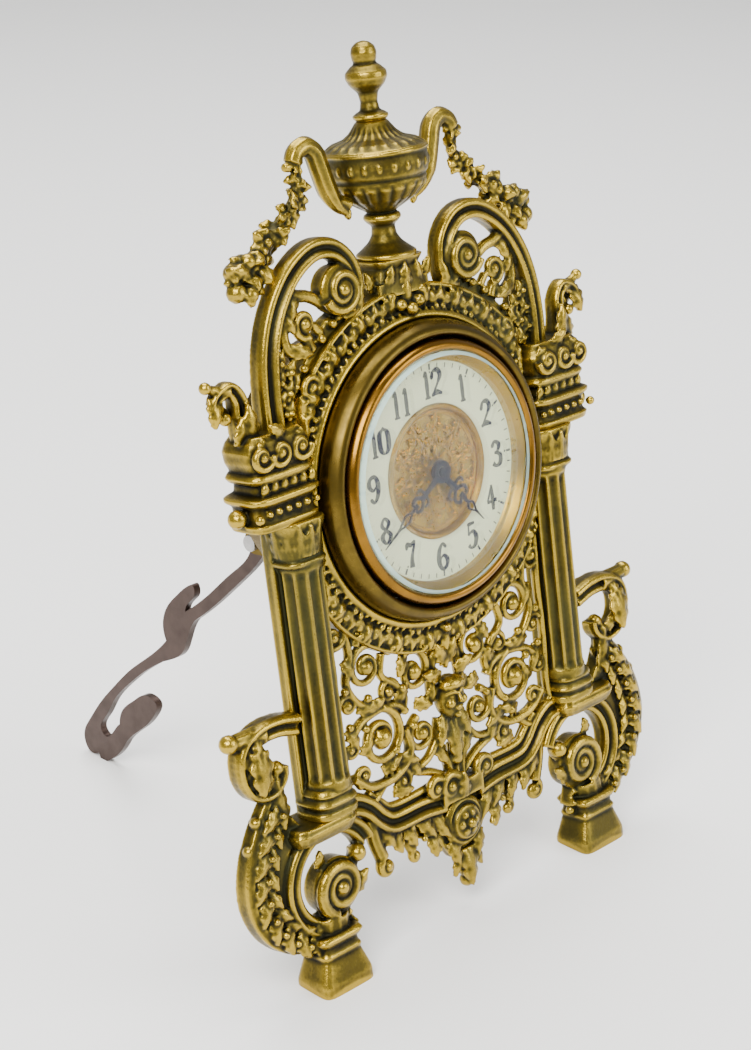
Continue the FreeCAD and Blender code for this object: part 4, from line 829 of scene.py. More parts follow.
def topArchShapes():
    eye, steps = topArch["eye"], topArch["steps"]
    rise = curved([(68.9, 31.5), (68.8, 46), (66.8, 60), (61.6, 72.5), (53.0, 83.0), (42.0, 89.0),
                   (31.6, 88.2), (24.4, 81.6), (22.6, 72.6), (24.4, 64.6)], steps)
    shapes = [sweep(rise, channel, np.linspace(*topArch["channel"], steps)),
              lathe([(0.5, -4), (8.6, -4), (9, 2.5), (7.5, 3.6), (0.5, 4.6)], 40, (*eye, 0))]
    shapes += scroll(eye, 8.2, -20, -1.9, 1.9, 3.8, 0.3)
    shapes += [tube(curved([(55, 78), (51, 75.4), (44, 73.5), (33, 66)], 20),
                    np.linspace(2.7, 2.0, 20)),
               tube(curved([(59, 72), (58.6, 66), (58, 59), (53.6, 55.6), (48.4, 56.6)], 24),
                    np.linspace(1.9, 2.8, 24)),
               leaf((52, 78, 1), -70, 12, 6, 2.4), leaf((58, 72, 1), -110, 10, 5, 2.4),
               leaf((58, 58, 1.5), 200, 11, 6, 2.4), tube([(62, 68), (58, 66)], 1.7)]
    shapes += scroll((48.6, 65), 5.4, 250, 1.5, 1.6, 0.6, 0.4)
    shapes += [tube([(48.6, 60), (46, 55)], 2.2), tube([(44.5, 64), (41, 60)], 1.8)]
    for px, pv, r in ((62.5, 54, 3.4), (58, 50, 3.0), (63.4, 47.4, 3.2), (60, 43, 3.2),
                      (64, 40, 3), (60.6, 36, 3.2), (56.5, 44.6, 2.6)):
        shapes += rosette((px, pv), r, 5, 1.2)
        shapes.append(leaf((px + 1, pv - 2, 0.5), 115, 7, 4.6, 2))
    shapes += [plate([(56.6, 31), (56.6, 48), (61, 56), (66, 56), (67, 31)], -5, 0.4),
               plate([(23.5, 60.5), (21.6, 67), (28, 68), (38, 64), (48, 54), (57, 44), (57, 39),
                      (46, 51)], -5, 0.2),
               leaf((24, 62, 0.8), 105, 12, 6, 2.6), leaf((30, 62, 0.8), 150, 9, 5, 2.2)]
    shapes += [ball((px, pv, 1.6), 1.7)
               for px, pv in ((36, 62.6), (42, 58.4), (52, 50), (33, 64.6))]
    return shapes


pairOf("top_arch", topArchShapes(), castGilt)

garland = {"w": -4.9, "clusters": 15, "small": 0.62, "large": 1.3, "seed": 4}


def garlandShapes():
    g = garland
    w = g["w"]
    handle = curved([(16.9, 97.8, w), (21.5, 101.5, w), (25, 107.5, w), (27.6, 115.5, w),
                     (29.6, 121.4, w), (33.5, 124.2, w), (37.8, 122.8, w), (40, 119.4, w)], 34)
    shapes = [tube(handle, np.interp(np.arange(34), (0, 9, 18, 33), (1.3, 3.9, 3.9, 3.2)), 1.0),
              ball((16.6, 97.0, w), 1.5), tube(curved([(38, 122, w), (41, 118.6, w),
                                                       (44.2, 118.4, w)], 8),
                                               np.linspace(2.6, 1.5, 8)),
              tube([(15.5, 101, w), (22, 103, w)], 2.6)]
    line = curved([(38.6, 117, w), (39.6, 109, w), (46, 101.6, w), (55, 95.6, w), (64, 89, w),
                   (69.5, 83.5, w)], g["clusters"])
    bell = [leaf((0, 0, 0), a, 7.4, 5.6, 3.2, 2, thick=1.3, rows=8, cols=5) for a in (10, 130, 250)]
    bell += [ball((0.6, 0.6, 1.8), 1.9, rows=5, around=7), ball((-1.4, -1.2, -1), 1.7,
                                                                 rows=5, around=7)]
    shapes += [tube(line, np.linspace(1.7, 3.8, len(line))),
               strungAlong(bell, line, g["small"], g["large"], g["seed"])]
    shapes += [ball(spot, r) for *spot, r in ((72.8, 87.4, w, 3.7), (73.2, 80.8, w + 1, 3.8),
                                              (69, 79.4, w + 3, 3.2), (67.4, 90.6, w + 2, 3.0))]
    shapes += [leaf((66, 86, w + 2), 20, 10, 6.4, 3), leaf((62, 88, w + 3), 250, 8, 6, 2.6)]
    return shapes


pairOf("handle_garland", garlandShapes(), castGilt)

urn = {"w": -4.9, "gadroons": 20, "eggs": 22}


def urnPieces():
    w, n = urn["w"], urn["gadroons"]
    spot = (0, 0, w)

    def gadroons(a, r, h):
        return 1 + 0.06 * np.abs(np.cos(a * n / 2)) * np.clip((h - 96) / 2, 0, 1) * (h < 106.5)

    def lidRays(a, r, h):
        return 1 + 0.03 * np.cos(a * 24) * (h > 118.6) * (h < 126)

    plinth = [stack(0, w, [(66, 13.6, 9), (69, 12.6, 8.6), (76, 10.4, 8), (77.6, 11.6, 8.8),
                           (79.1, 12.4, 9.4)], 4),
              leaf((0, 66.5, w + 7.6), 90, 11, 6, 2.6), leaf((-8, 68, w + 7), 78, 10, 5, 2.4),
              leaf((8, 68, w + 7), 102, 10, 5, 2.4), leaf((-12, 68.5, w + 4), 120, 9, 5, 2.2),
              leaf((12, 68.5, w + 4), 60, 9, 5, 2.2), block((0, 69, w + 1), (25, 4, 13))]
    bowl = rounded([(10.8, 79.1), (11.2, 80.6), (9.2, 82), (6.2, 84.6), (4.6, 87.2), (4.2, 90.6),
                    (5.8, 91.8), (7, 93.2), (6.6, 94.6), (5, 95.4), (7.2, 96.8), (12.6, 100.4),
                    (16.2, 104.4), (17.6, 107), (17.2, 107.8), (18.4, 109.4), (19.0, 113),
                    (18.6, 116.4), (19.5, 117.4), (18.9, 118.2)], 0.5)
    lid = rounded([(18.9, 117.8), (18.9, 118.4), (15.4, 120.6), (11, 122), (8.4, 124),
                   (6.4, 127), (5.4, 128)], 0.5)
    finial = rounded([(4.6, 127.6), (6.2, 128.6), (6.6, 129.8), (5.2, 130.8), (3.6, 131.6),
                      (3.1, 134.6), (3.7, 137.8), (6.4, 140.6), (7.6, 143), (7.4, 145),
                      (5.4, 147), (3.9, 148), (4.4, 149.4), (4.7, 151.6), (4.1, 153.8),
                      (2.4, 155.3), (0.6, 155.8)], 0.4)
    egg = [ball((0, 0, 0), 2.0, (0.55, 0.7, 1), 6, 8), tube([(0.2, 2.5, -2), (0.2, 2.5, 2)], 0.5)]
    eggs = upright(roundTheRing(egg, urn["eggs"], 18.4), (0, 112.6, w))
    acorn = upright(roundTheRing([ball((0, 0, 0), 1.1, (0.6, 0.9, 1.3), 5, 7)], 12, 7.0),
                    (0, 143.6, w))
    drops = [ball((s * 16.4, 97.6, w), 1.7, (0.8, 1.5, 0.8)) for s in (-1, 1)]
    for name, shapes in (("urn_plinth", plinth),
                         ("urn_body", [lathe(bowl, 160, spot, True, wave=gadroons), eggs] + drops),
                         ("urn_lid", [lathe(lid, 160, spot, True, wave=lidRays)]),
                         ("urn_finial", [lathe(finial, 80, spot, True), acorn])):
        finished(f"{name}_casting", cast(shapes, 0.36, 1), "clock_case", [name], "cast_brass",
                 castGilt)
    print("urn cast")


urnPieces()

lean = math.acos(upDial.z)


baseScroll = {"eye": (67.6, -140), "ring": (69, -135.6), "radius": 19.6, "ringChannel": 0.86,
              "earChannel": 0.8, "beadRing": (70, -125), "grain": 0.46}


def baseScrollShapes():
    eye, (beadX, beadV) = baseScroll["eye"], baseScroll["beadRing"]
    shapes = [sweep(arc(baseScroll["ring"], baseScroll["radius"], 158, -112, 60),
                    np.array(channel) * baseScroll["ringChannel"]),
              lathe([(0.5, -5), (10.8, -5), (11.4, 2), (9, 3.6), (0.5, 4.6)], 40, (*eye, 0)),
              stack(72.5, -0.4, [(-118, 13.4, 7.6), (-115.6, 14.8, 9), (-113.6, 15.4, 9.6),
                                 (-112.4, 14.6, 9), (-111.1, 14.2, 9)], 5)]
    shapes += scroll(eye, 10.6, -70, 2.1, 2.5, 3.6, 0.26, 1.0)
    shapes += scroll(eye, 12.6, -100, 0.9, 2.0, 0.8, 0.1)
    shapes += [tube(curved([(60, -136), (56.6, -132.6), (56.0, -129)], 10), 2.7),
               ball((56.4, -131, 2), 3.6), leaf((62, -146, 2), 140, 12, 7, 2.6),
               leaf((75, -131, 1), 100, 7.6, 5, 2)]
    band = curved([(89, -96), (95.5, -106), (101, -118), (103, -131), (99, -143), (91, -151.5),
                   (81, -156.4)], 40)
    width = 0.5 + 0.5 * np.sin(np.linspace(0.25, 2.9, 40))
    shapes += [sweep(band, [(-7.4, -4), (7.6, -4), (8.2, -1), (6.4, 1.6), (3.4, 2.4), (2.2, 1.4),
                            (0.6, 2.8), (-1.4, 3.6), (-3.2, 2.4), (-4.2, 3.4), (-7, 2)], width),
               plate([(80, -112), (86, -104), (90, -96), (97, -106), (102, -118), (103.6, -131),
                      (99, -143), (91, -152), (80, -158), (72, -160), (80, -152), (88, -142),
                      (91.4, -133), (89, -122), (84, -114)], -4.6, 1.4)]
    for k in range(9):
        px, pv, _ = band[3 + 4 * k]
        ahead = band[min(39, 5 + 4 * k)] - band[1 + 4 * k]
        way = math.degrees(math.atan2(ahead[1], ahead[0]))
        shapes.append(leaf((px - 2, pv, 2.6), way + 24, 12, 6.4, 2.6, 3))
        shapes.append(leaf((px - 3, pv, 1.8), way - 34, 9, 5, 2.2, 2))
        shapes.append(ball((px - 1.4, pv - 2.5, 4.6), 1.3))
    for a in (-46, -30, -13, 4, 20, 36):
        out = 37.2 if a > -40 else 36
        shapes.append(ball((beadX + out * math.cos(math.radians(a)),
                            beadV + out * math.sin(math.radians(a)), 0), 2.3))
    ear = curved([(76, -74), (85, -71.8), (94, -72), (101, -76), (102.4, -84), (99, -91),
                  (92.6, -93.2), (87.6, -90), (86.6, -86)], 36)
    shapes += [sweep(ear, np.array(channel) * baseScroll["earChannel"],
                     np.linspace(1.15, 0.95, 36)),
               leaf((97, -75, 4), -84, 18, 11, 3.4), leaf((101, -78, 2), -100, 14, 8, 3),
               tube(curved([(92, -72), (100, -71.6), (106.8, -71)], 10), np.linspace(4.2, 3.0, 10)),
               ball((107.2, -70.9, 0), 3.6), leaf((100, -73, 2.4), -92, 16, 8.5, 3),
               leaf((96, -72, 3), -70, 9, 5, 2.4), ball((87.4, -86.8, 0), 2.9),
               leaf((92, -93, 2), 62, 9, 5.6, 2.4), ball((95.6, -70.2, 0), 2.2),
               tube([(90, -90), (89, -98)], 3.4), leaf((88, -110, 1), 84, 18, 8, 2.6)]
    foot = [(-155.2, 9.6, 7.2), (-156.6, 10.8, 8.4), (-158.2, 9.8, 7.6), (-159.4, 8.6, 6.6),
            (-161.2, 8.8, 6.8), (-162.6, 9.8, 7.6), (-164.2, 9.3, 7), (-171.6, 12.1, 8.6),
            (-173.2, 12.5, 9), (-180, 12.5, 9)]
    shapes += [stack(72.6, 0, foot, 7, 48), ball((83.4, -160, 0), 2.4), ball((62.4, -160, 0), 2.0),
               tube([(72, -150), (72.6, -158)], 8.2, 0.75, 12)]
    return shapes


pairOf("base_scroll", baseScrollShapes(), castGilt, baseScroll["grain"],
       [((0, floorBelow * math.cos(lean), floorBelow * math.sin(lean)),
         (0, -math.cos(lean), -math.sin(lean)))])


apron = {"shield": (0, -140), "grain": 0.46}


def apronShapes():
    half = [sweep(curved([(9, -129), (20, -127.4), (35, -127), (41.5, -123.4), (47, -117.4),
                          (52.6, -113.6), (58, -112.6)], 40), np.array(channel) * (1, -1) * 0.95
                  * (-1, -1)),
            tube(curved([(4, -119), (16, -121), (34, -121.2), (40, -117.4), (46, -111.8)], 24),
                 1.6)]
    half += scroll((41.5, -143), 3.6, 60, -1.2, 2.0, 0.6, 0.6)
    half += scroll((26, -144.6), 2.8, 80, -1.1, 1.5, 0.4, 0.6)
    half += scroll((13.5, -121.8), 4.8, 200, -1.5, 1.8, 2.6, 0.4)
    half += [tube(curved([(47, -122), (45.4, -131), (42.6, -139.4)], 12), 3.0),
             tube(curved([(30, -131), (29, -137), (27, -142)], 10), 2.4),
             plate([(0, -129), (50, -119), (46, -131), (38, -136.6), (26, -138), (14, -143),
                    (6, -154), (0, -154)], -4, 0.4)]
    for px, pv, a, size in ((44, -126, 236, 12), (38, -129, 250, 12), (31, -129.5, 246, 12),
                            (24, -130, 232, 13), (17, -131, 236, 15), (10, -134, 244, 14),
                            (18, -138, 262, 11), (8, -145, 256, 12)):
        half.append(leaf((px, pv, 1.4), a, size, 6.6, 2.6, 3))
    half += [ball((px, pv, 2.4), 1.4)
             for px, pv in ((34, -136), (22, -139), (15, -146), (28, -132))]
    middle = [lathe([(0.5, -3), (9.4, -3), (10.4, 2), (8.4, 3.4), (7.4, 2.6), (6.6, 4.6), (0.5, 6)],
                    40, (*apron["shield"], 0)),
              leaf((0, -150, 1.6), -90, 17, 9, 3.4), leaf((0, -131, 4), 90, 12, 6, 2.4),
              leaf((-3, -150, 0.8), -112, 12, 6, 2.4), leaf((3, -150, 0.8), -68, 12, 6, 2.4),
              ball((0, -165, 0), 3.0), ball((0, -160, 0.6), 3.8), block((0, -126.5, 0), (22, 7, 9))]
    middle += rosette(apron["shield"], 6, 6, 4.2)
    middle += scroll((-6.4, -123.4), 5.6, 20, 1.3, 1.9, 3.2, 0.4)
    return both(half) + middle


finished("base_apron_casting", cast(apronShapes(), apron["grain"]), "clock_case", ["base_apron"],
         "cast_brass", castGilt)
print("apron cast")


def calmFace(x, v, w, size):
    shapes = [ball((0, 0, 0), 1, (0.72, 1.0, 0.62), 14, 20),
              ball((0, 0.05, 0.60), 0.11, (1, 1.6, 0.8)),
              tube([(0, 0.30, 0.58), (0, 0.02, 0.70), (0, -0.13, 0.74)], [0.08, 0.11, 0.13]),
              ball((0, -0.70, 0.42), 0.2), ball((0, -0.36, 0.60), 0.15, (1.5, 0.42, 0.6)),
              ball((0, -0.46, 0.57), 0.13, (1.3, 0.5, 0.6)),
              ball((0, 0.62, 0.2), 0.6, (1.15, 0.6, 0.8))]
    for s in (-1, 1):
        shapes += [tube(curved([(s * 0.10, 0.30, 0.60), (s * 0.30, 0.36, 0.54),
                                (s * 0.50, 0.26, 0.36)], 8), 0.075),
                   ball((s * 0.27, 0.15, 0.50), 0.13, (1.2, 0.7, 0.7)),
                   ball((s * 0.36, -0.14, 0.42), 0.24)]
    return [(np.array(p) * size + (x, v, w), f) for p, f in shapes]


panel = {
    "edge": 56.4, "grain": 0.42, "face": (0, -89, 1.4, 9.0),
    # x, v, radius, start, turns and bar
    "scrolls": (
        (53.4, -49, 5.4, 150, 1.4, 1.5), (40, -64.5, 8.6, 120, -1.6, 1.7),
        (27.6, -60.6, 4.2, 40, 1.3, 1.3), (16.4, -74, 9.2, 60, 1.4, 1.8),
        (30, -77.4, 5.4, 200, -1.4, 1.4), (50.6, -76, 4.6, 20, 1.3, 1.4),
        (36.4, -93.4, 11.6, 100, 1.7, 2.0), (15.6, -98.8, 7.4, 80, -1.5, 1.8),
        (51.8, -93, 4.4, 90, 1.2, 1.3), (28, -113.6, 5.0, 60, 1.4, 1.6),
        (46.6, -104.8, 4.4, 300, 1.2, 1.4)),
    # path and bar
    "stems": (
        ([(57, -40), (55.6, -60), (56.4, -80), (55.4, -100), (57, -112)], 1.5),
        ([(48, -50), (47, -58), (50, -68), (46, -76), (40, -80)], 1.5),
        ([(31, -62), (32.6, -70), (26, -76), (22, -82), (24, -88)], 1.4),
        ([(0, -66), (5, -70), (7.4, -78), (8, -86)], 1.8),
        ([(22, -88), (26, -84), (34, -82.4), (44, -84), (50, -88)], 1.6),
        ([(24, -94), (22, -102), (26, -108), (34, -111), (44, -110), (52, -104)], 1.8),
        ([(6, -96), (8, -106), (4, -114), (3, -124)], 1.7),
        ([(24, -112), (14, -110), (8, -104)], 1.5),
        ([(38, -112), (44, -116), (50, -114), (57, -108)], 1.6),
        ([(20, -113), (12, -116), (4, -121)], 1.6),
        ([(12, -66), (12, -63)], 2.0), ([(22, -65), (22, -60)], 1.8),
        ([(34, -57), (32, -54)], 2.0), ([(44, -55), (42, -50)], 2.0)),
    # x, v, angle and length
    "leaves": (
        (47, -78, 200, 10), (52, -84, 250, 9), (42, -82, 160, 9),
        (33, -82, 20, 9), (27, -84, 130, 9), (30, -104, 200, 11),
        (38, -107, 160, 10), (24, -106, 240, 9), (18, -86, 200, 9),
        (12, -88, 150, 9), (20, -66, 300, 8), (50, -58, 250, 8),
        (9, -104, 250, 11), (34, -116, 190, 10), (46, -98, 120, 8)),
    "pearls": (
        (44, -87), (51.6, -84), (23.4, -78), (41, -76),
        (20, -94), (30, -100), (52, -70), (33, -106)),
}


def panelShapes():
    half = []
    for px, pv, r, start, turns, bar in panel["scrolls"]:
        half += scroll((px, pv), r, start, turns, bar, 0.2, 0.36, 1.15)
    for path, bar in panel["stems"]:
        half.append(tube(curved(path, 22), bar * 1.12, 1.2))
    for px, pv, a, size in panel["leaves"]:
        half.append(leaf((px, pv, 0.4), a, size * 1.1, 6.2, 2.2, 3))
    half += rosette((36.4, -93.4), 4.6, 6, 1.4) + rosette((40, -64.5), 2.8, 5, 1.2)
    half += [ball((px, pv, 1.4), 1.7) for px, pv in panel["pearls"]]
    middle = [leaf((0, -66, 0.6), 270, 12, 7, 2.6), leaf((0, -76, 1.6), 62, 11, 7, 2.4),
              leaf((0, -76, 1.6), 118, 11, 7, 2.4), leaf((3, -80, 2), 20, 11, 6, 2.4),
              leaf((-3, -80, 2), 160, 11, 6, 2.4), leaf((0, -97, 1.6), 270, 19, 9, 3),
              leaf((3.4, -95, 1.6), 292, 13, 6, 2.4), leaf((-3.4, -95, 1.6), 248, 13, 6, 2.4),
              tube([(0, -108, 0), (0, -124, 0)], 2.4), ball((0, -114, 1), 3.2)]
    return both(half) + middle + calmFace(*panel["face"])


edges = [((s * panel["edge"], 0, 0), (s, 0, 0)) for s in (-1, 1)]
finished("scroll_panel_casting", cast(panelShapes(), panel["grain"], cuts=edges), "clock_case",
         ["scroll_panel"], "cast_brass", castGilt)
print("panel cast")


# The clock head: turned rings, the dial and its numerals, the hands and the glass.
def ringProfile(points, cut=0.4):
    return rounded(points + [points[0]], cut)[:-1]


head = {
    "bezel_ring": ([(48.6, 4.0), (55.4, 4.0), (55.9, 5.2), (55.2, 9.4), (53.6, 12.2), (51.6, 13.4),
                    (50.2, 12.6), (49.4, 10.2), (48.6, 7.4)], bezelBronze, "bronzed_brass"),
    "glass_bezel": ([(44.6, 8.0), (48.4, 8.0), (49.1, 10.6), (48.7, 13.0), (47.4, 14.6),
                     (45.9, 14.9), (44.7, 14.0), (44.6, 12.4)], bezelCopper, "bezel_brass"),
    "sight_ring": ([(40.5, 8.4), (42.6, 8.4), (44.2, 12.4), (43.7, 12.4), (41.8, 9.8),
                    (40.9, 9.1)], sightGold, "polished_brass"),
    "dial_centre_rim": ([(22.5, 6.9), (25.0, 8.3), (25.1, 8.8), (24.2, 9.6), (23.2, 9.2),
                         (22.5, 7.9)], dialGilt, "polished_brass"),
}


def headRings():
    for node, (points, metal, slotName) in head.items():
        mesh = turnedMesh([lathe(ringProfile(points, 0.8), 192, ring=True)], 50)
        finished(f"{node}_turned", mesh, "clock_case", [node], slotName, metal)


headRings()


# strokes of each numeral in a box 0 to 1 wide and 0 to 1.6 high: points, then the half widths
strokes = {
    "1": [([(0.30, 1.30), (0.50, 1.55), (0.52, 0.80), (0.52, 0.05)], (0.03, 0.06, 0.09, 0.07)),
          ([(0.30, 0.04), (0.74, 0.04)], (0.04, 0.04))],
    "2": [([(0.14, 1.14), (0.30, 1.50), (0.66, 1.52), (0.84, 1.18), (0.60, 0.76), (0.16, 0.16)],
           (0.08, 0.05, 0.09, 0.10, 0.05, 0.04)), ([(0.12, 0.12), (0.5, 0.22), (0.9, 0.08)],
                                                   (0.05, 0.1, 0.04))],
    "3": [([(0.18, 1.30), (0.42, 1.55), (0.76, 1.30), (0.62, 0.96), (0.40, 0.86)],
           (0.08, 0.05, 0.1, 0.06, 0.03)), ([(0.42, 0.86), (0.80, 0.66), (0.76, 0.20),
                                             (0.40, 0.05), (0.14, 0.26)],
                                            (0.03, 0.09, 0.10, 0.05, 0.09))],
    "4": [([(0.56, 1.58), (0.58, 0.8), (0.58, 0.02)], (0.05, 0.09, 0.07)),
          ([(0.52, 1.45), (0.14, 0.60)], (0.04, 0.05)), ([(0.10, 0.56), (0.94, 0.60)],
                                                         (0.05, 0.07))],
    "5": [([(0.26, 1.50), (0.78, 1.54)], (0.07, 0.05)), ([(0.26, 1.50), (0.22, 0.92)],
                                                         (0.04, 0.04)),
          ([(0.24, 0.92), (0.60, 1.02), (0.84, 0.62), (0.66, 0.16), (0.34, 0.05), (0.14, 0.26)],
           (0.03, 0.07, 0.11, 0.08, 0.04, 0.08))],
    "6": [([(0.78, 1.36), (0.54, 1.56), (0.24, 1.20), (0.14, 0.58), (0.34, 0.08), (0.72, 0.16),
            (0.84, 0.54), (0.56, 0.86), (0.24, 0.62)],
           (0.07, 0.05, 0.09, 0.11, 0.07, 0.07, 0.1, 0.05, 0.03))],
    "7": [([(0.16, 1.28), (0.22, 1.52), (0.52, 1.40), (0.86, 1.54), (0.54, 0.70), (0.48, 0.05)],
           (0.06, 0.07, 0.08, 0.04, 0.07, 0.12))],
    "8": [([(0.50, 0.84), (0.22, 1.16), (0.46, 1.54), (0.78, 1.20), (0.50, 0.84), (0.16, 0.46),
            (0.46, 0.04), (0.84, 0.42), (0.50, 0.84)],
           (0.05, 0.08, 0.04, 0.09, 0.05, 0.10, 0.04, 0.10, 0.05))],
    "9": [([(0.22, 0.22), (0.46, 0.04), (0.76, 0.40), (0.86, 1.02), (0.66, 1.50), (0.28, 1.44),
            (0.16, 1.06), (0.44, 0.74), (0.76, 0.98)],
           (0.07, 0.05, 0.09, 0.11, 0.07, 0.07, 0.1, 0.05, 0.03))],
    "0": [([(0.50, 1.54), (0.18, 1.20), (0.18, 0.40), (0.50, 0.06), (0.82, 0.40), (0.82, 1.20),
            (0.50, 1.54)], (0.03, 0.11, 0.11, 0.03, 0.11, 0.11, 0.03))],
}
dial = {"turn": 2.9, "numerals": 32.3, "tall": 6.5, "marks": 38.9, "front": 8.4, "thick": 0.05,
        "scale": 1.55, "wide": 0.62, "step": 0.82, "weight": 1.8, "blob": 0.11}


def flatRibbon(path, half, w, thick):
    along = np.gradient(path[:, :2], axis=0)
    along /= np.linalg.norm(along, axis=1)[:, None] + 1e-9
    side = np.column_stack((-along[:, 1], along[:, 0])) * half[:, None]
    a, b = path[:, :2] + side, path[:, :2] - side
    low, high = np.full(len(a), w), np.full(len(a), w + thick)
    rings = np.stack((np.column_stack((a, low)), np.column_stack((b, low)),
                      np.column_stack((b, high)), np.column_stack((a, high))), 1)
    return rings.reshape(-1, 3), capped(len(path), 4)


def numeral(text, centre, tall, w):
    shapes, step, wide = [], dial["step"], dial["wide"]
    left = -0.5 * (1 + step * (len(text) - 1) * (0.78 if text != "10" else 1))
    for k, digit in enumerate(text):
        for points, halves in strokes[digit]:
            points = [((px + left + k * step) * tall * wide + centre[0],
                       (pv - 0.8) * tall * wide + centre[1]) for px, pv in points]
            shapes.append(flatRibbon(curved(points, 5 * len(points)),
                                     np.interp(np.linspace(0, 1, 5 * len(points)),
                                               np.linspace(0, 1, len(halves)), halves)
                                     * tall * wide * dial["weight"], w, dial["thick"]))
            end = points[0]
            if digit not in "14":
                blob = dial["blob"] * tall * wide
                shapes.append(lathe([(0.05, w), (blob, w), (blob, w + dial["thick"]),
                                     (0.05, w + dial["thick"])], 10, (*end, 0)))
    return shapes


def numeralsAndMarks():
    d, shapes = dial, []
    for hour in range(1, 13):
        a = math.radians(90 - 30 * hour - d["turn"])
        spot = (d["numerals"] * math.cos(a), d["numerals"] * math.sin(a))
        shapes += numeral(str(hour), spot, d["tall"] * d["scale"], d["front"] + 0.01)
    w = d["front"] + 0.01
    minute = [block((0, 0, w + 0.03), (1.7, 0.42, d["thick"]))]
    five = [block((0, 0, w + 0.04), (2.2, 0.85, d["thick"])), block((-1.9, 0, w + 0.04),
                                                                    (0.7, 0.7, d["thick"]), 0.78)]
    shapes.append(roundTheRing(minute, 60, d["marks"], -d["turn"], metal=numeralInk))
    shapes.append(roundTheRing(five, 12, d["marks"] - 0.2, -d["turn"], metal=numeralInk))
    mesh = turnedMesh(shapes, 40, relief=False)
    finished("dial_numerals", mesh, "clock_case", [], "dial_enamel", numeralInk)


numeralsAndMarks()

enamelRing = turnedMesh([lathe(ringProfile([(23.7, 7.5), (42.3, 7.5), (42.3, 8.1), (41.0, 8.36),
                                            (32, 8.4), (24.4, 8.36), (23.7, 8.1)], 0.2), 192,
                               ring=True)], 60, relief=False)
finished("dial_ring_enamel", enamelRing, "clock_case", ["dial_ring"], "dial_enamel", enamel)


def piercedCentre():
    motif, tiny = [], dict(thick=0.5)
    for side in (-1, 1):
        motif += scroll((-4.2, side * 2.6), 2.3, 90 * side, side * 1.3, 0.36, 0.8, 0.36)
        motif += scroll((1.6, side * 2.5), 2.0, -60 * side, -side * 1.3, 0.36, 0.9, 0.4)
        motif.append(leaf((-1.4, side * 0.8, 0.5), side * 52, 4.4, 1.6, 1.1, 3, **tiny))
        motif.append(ball((4.4, side * 1.3, 0.9), 0.7, rows=5, around=7))
    motif += [leaf((-5.6, 0, 0.5), 0, 6, 1.7, 1.3, 3, **tiny),
              leaf((0.4, 0, 0.6), 0, 6, 1.9, 1.3, 3, **tiny)]
    inner = [leaf((-2.4, 0, 0.5), 0, 5, 1.8, 1.2, 3, **tiny),
             ball((-2.4, 1.9, 0.9), 0.8, rows=5, around=7)]
    shapes = [roundTheRing(motif, 10, 15.4, 9), roundTheRing(inner, 9, 7.0),
              lathe([(20.9, 0), (22.4, 0), (22.4, 1.2), (20.9, 1.0)], 96, ring=True),
              lathe([(2.2, 0), (5.2, 0), (5.2, 1), (2.2, 1)], 48, ring=True)]
    shapes.append(roundTheRing([tube([(-8, 0, 0.4), (8, 0, 0.4)], 0.42)], 10, 12.4))
    for r in (9.6, 15.2):
        shapes.append(lathe([(r, 0), (r + 0.6, 0), (r + 0.6, 0.9), (r, 0.9)], 96, ring=True))
    mesh = cast([moved(s, (0, 0, 6.3)) for s in shapes], 0.22, 1)
    finished("dial_centre_gilt", mesh, "clock_case", [], "polished_brass", dialGilt)
    # the ground disc under the pierced work is painted near black as shade in the recess
    disc = [(2.4, 5.9), (22.4, 5.9), (22.4, 6.32), (2.4, 6.32)]
    ground = turnedMesh([lathe(disc, 96, ring=True)], 40, relief=False)
    finished("dial_centre_ground", ground, "clock_case", ["dial_centre"], "polished_brass",
             paintedShadeGround)


piercedCentre()


handThick = 0.62
# a hand drawn pointing up from the arbor, then turned to its hour
hands = {
    "minute": {"turn": 237.9, "w": 10.85, "long": 38.5, "body": 14.5, "loop": (20.6, 28.6)},
    "hour": {"turn": 139.3, "w": 9.6, "long": 31.5, "body": 12.5, "loop": (20.0, 25.4)},
}


def handShapes(h, wide):
    tip, body, (low, high) = h["long"], h["body"], h["loop"]
    thick = handThick

    def bar(points, halves):
        path = curved(points, 6 * len(points))
        half = np.interp(np.linspace(0, 1, len(path)), np.linspace(0, 1, len(halves)), halves)
        return flatRibbon(path, half, 0, thick)

    shapes = [lathe([(2.05, 0), (4.3, 0), (4.3, thick), (2.05, thick)], 48, ring=True),
              bar([(0, 2.2), (0, body * 0.6), (0, body)], (1.5, 0.95 * wide, 1.1 * wide)),
              bar([(0, high), (0, tip)], (0.55, 0.12))]
    for s in (-1, 1):
        shapes += [bar([(s * 0.5, body - 1), (s * 2.6 * wide, body + 1.4),
                        (s * 1.9 * wide, body + 4), (0, body + 3.2)], (0.7, 0.7, 0.6, 0.5)),
                   bar([(s * 0.4, body - 3), (s * 3.2 * wide, body - 2.4),
                        (s * 3.4 * wide, body)], (0.6, 0.6, 0.35)),
                   bar([(0, low), (s * 1.5, low + 0.35 * (high - low)), (s * 0.9, low + 0.75
                        * (high - low)), (0, high + 0.4)], (0.45, 0.42, 0.36, 0.3))]
    shapes.append(bar([(0, body + 2), (0, low + 0.5)], (0.9 * wide, 0.45)))
    return shapes


def dialHands():
    for kind, wide in (("minute", 1.0), ("hour", 1.35)):
        h = hands[kind]
        mesh = cast(handShapes(h, wide), 0.17, 1)
        mesh.transform(Matrix.Translation((0, 0, h["w"])) @ Matrix.Rotation(
            -math.radians(h["turn"]), 4, "Z"))
        finished(f"{kind}_hand_blued", mesh, f"{kind}_work", [f"{kind}_hand"], "blued_steel",
                 bluedSteel)


dialHands()


pane = {"back": 12.7, "front": 15.3, "edge": 44.4, "flatTo": 43.0}


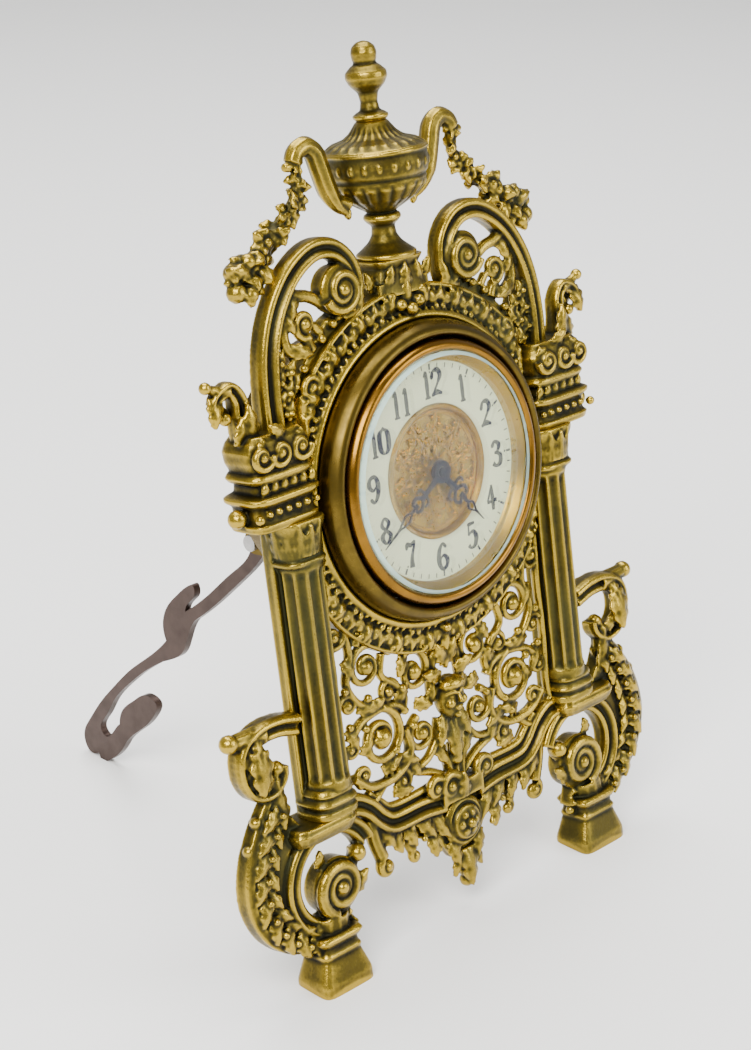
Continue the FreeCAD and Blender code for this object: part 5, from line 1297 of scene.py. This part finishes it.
def glassPiece():
    low, edge, flatTo = pane["back"], pane["edge"], pane["flatTo"]
    flat = [(0.4, low), (edge, low), (edge, 14.1), (flatTo, pane["front"]), (0.4, pane["front"])]
    mesh = turnedMesh([lathe(flat, 192)], 20, relief=False)
    glass = finished("dial_glass_bevelled", mesh, "clock_case", ["dial_glass"], "dial_glass",
                     dialGlass, glassEdge)
    middle = place.inverted()
    for face in glass.data.polygons:
        spot = middle @ face.center
        sloped = flatTo + 0.05 < math.hypot(spot.x, spot.y)
        face.material_index = 1 if sloped and spot.z > low + 0.2 else 0


glassPiece()
print("clock head fitted")

# What the CAD shows keeps its shape and gets its finish.
dark = ("hand_nut", "centre_arbor")
slotFinish = {"cast_brass": castGilt, "polished_brass": polishedBrass, "bronzed_brass": bezelBronze,
              "bezel_brass": bezelCopper, "bright_steel": brightSteel, "blued_steel": bluedSteel,
              "dial_enamel": enamel, "dial_glass": dialGlass, "strut_iron": strutIron}
for part in frame["record"]["subparts"]:
    node = frame["nodes"].get(part["node"])
    if node:
        node.data.materials.clear()
        node.data.materials.append(bluedSteel if part["node"] in dark
                                   else slotFinish[part["material_slot"]])

# Floor, backdrop and light
studio = {"floor": (0.88, 0.875, 0.86, 1), "world": (0.90, 0.91, 0.92, 1), "strength": 0.55,
          "side": 6, "front": -3.5, "back": 3.2, "bend": 1.5, "top": 5.5, "aim": (0, -0.05, 0.16)}
lamps = {  # place, size, power, colour
    "window": ((-1.5, -0.9, 1.7), 1.3, 88, (1.0, 0.98, 0.95)),
    "fill": ((0.9, -1.7, 0.9), 1.2, 30, (0.96, 0.98, 1.0)),
    "top": ((0.3, 0.5, 2.1), 1.6, 74, (1.0, 1.0, 1.0)),
}


def setStudio():
    paint = material("pale floor", {"Base Color": studio["floor"], "Roughness": 0.75})
    back, bend = studio["back"], studio["bend"]
    ends = [(studio["front"], 0), (back, 0)]
    ends += [(back + bend * math.sin(a), bend - bend * math.cos(a))
             for a in np.linspace(0.1, math.pi / 2, 12)] + [(back + bend, studio["top"])]
    v = [(x, y, z) for y, z in ends for x in (-studio["side"], studio["side"])]
    f = [[2 * i, 2 * i + 1, 2 * i + 3, 2 * i + 2] for i in range(len(ends) - 1)]
    floor = shown(meshFrom((v, f)), "floor")
    floor.data.materials.append(paint)
    floor.data.shade_smooth()
    for name, (spot, size, power, colour) in lamps.items():
        data = bpy.data.lights.new(name, "AREA")
        data.size, data.energy, data.color = size, power, colour
        lamp = bpy.data.objects.new(name, data)
        bpy.context.scene.collection.objects.link(lamp)
        aim = Vector(studio["aim"]) - Vector(spot)
        turn = aim.to_track_quat("-Z", "Y").to_matrix().to_4x4()
        lamp.matrix_world = Matrix.Translation(spot) @ turn
    world = bpy.context.scene.world or bpy.data.worlds.new("studio")
    bpy.context.scene.world = world
    world.use_nodes = True
    sky = world.node_tree.nodes["Background"]
    inputValue(sky, {"Color": studio["world"], "Strength": studio["strength"]})


setStudio()
print("studio lit")
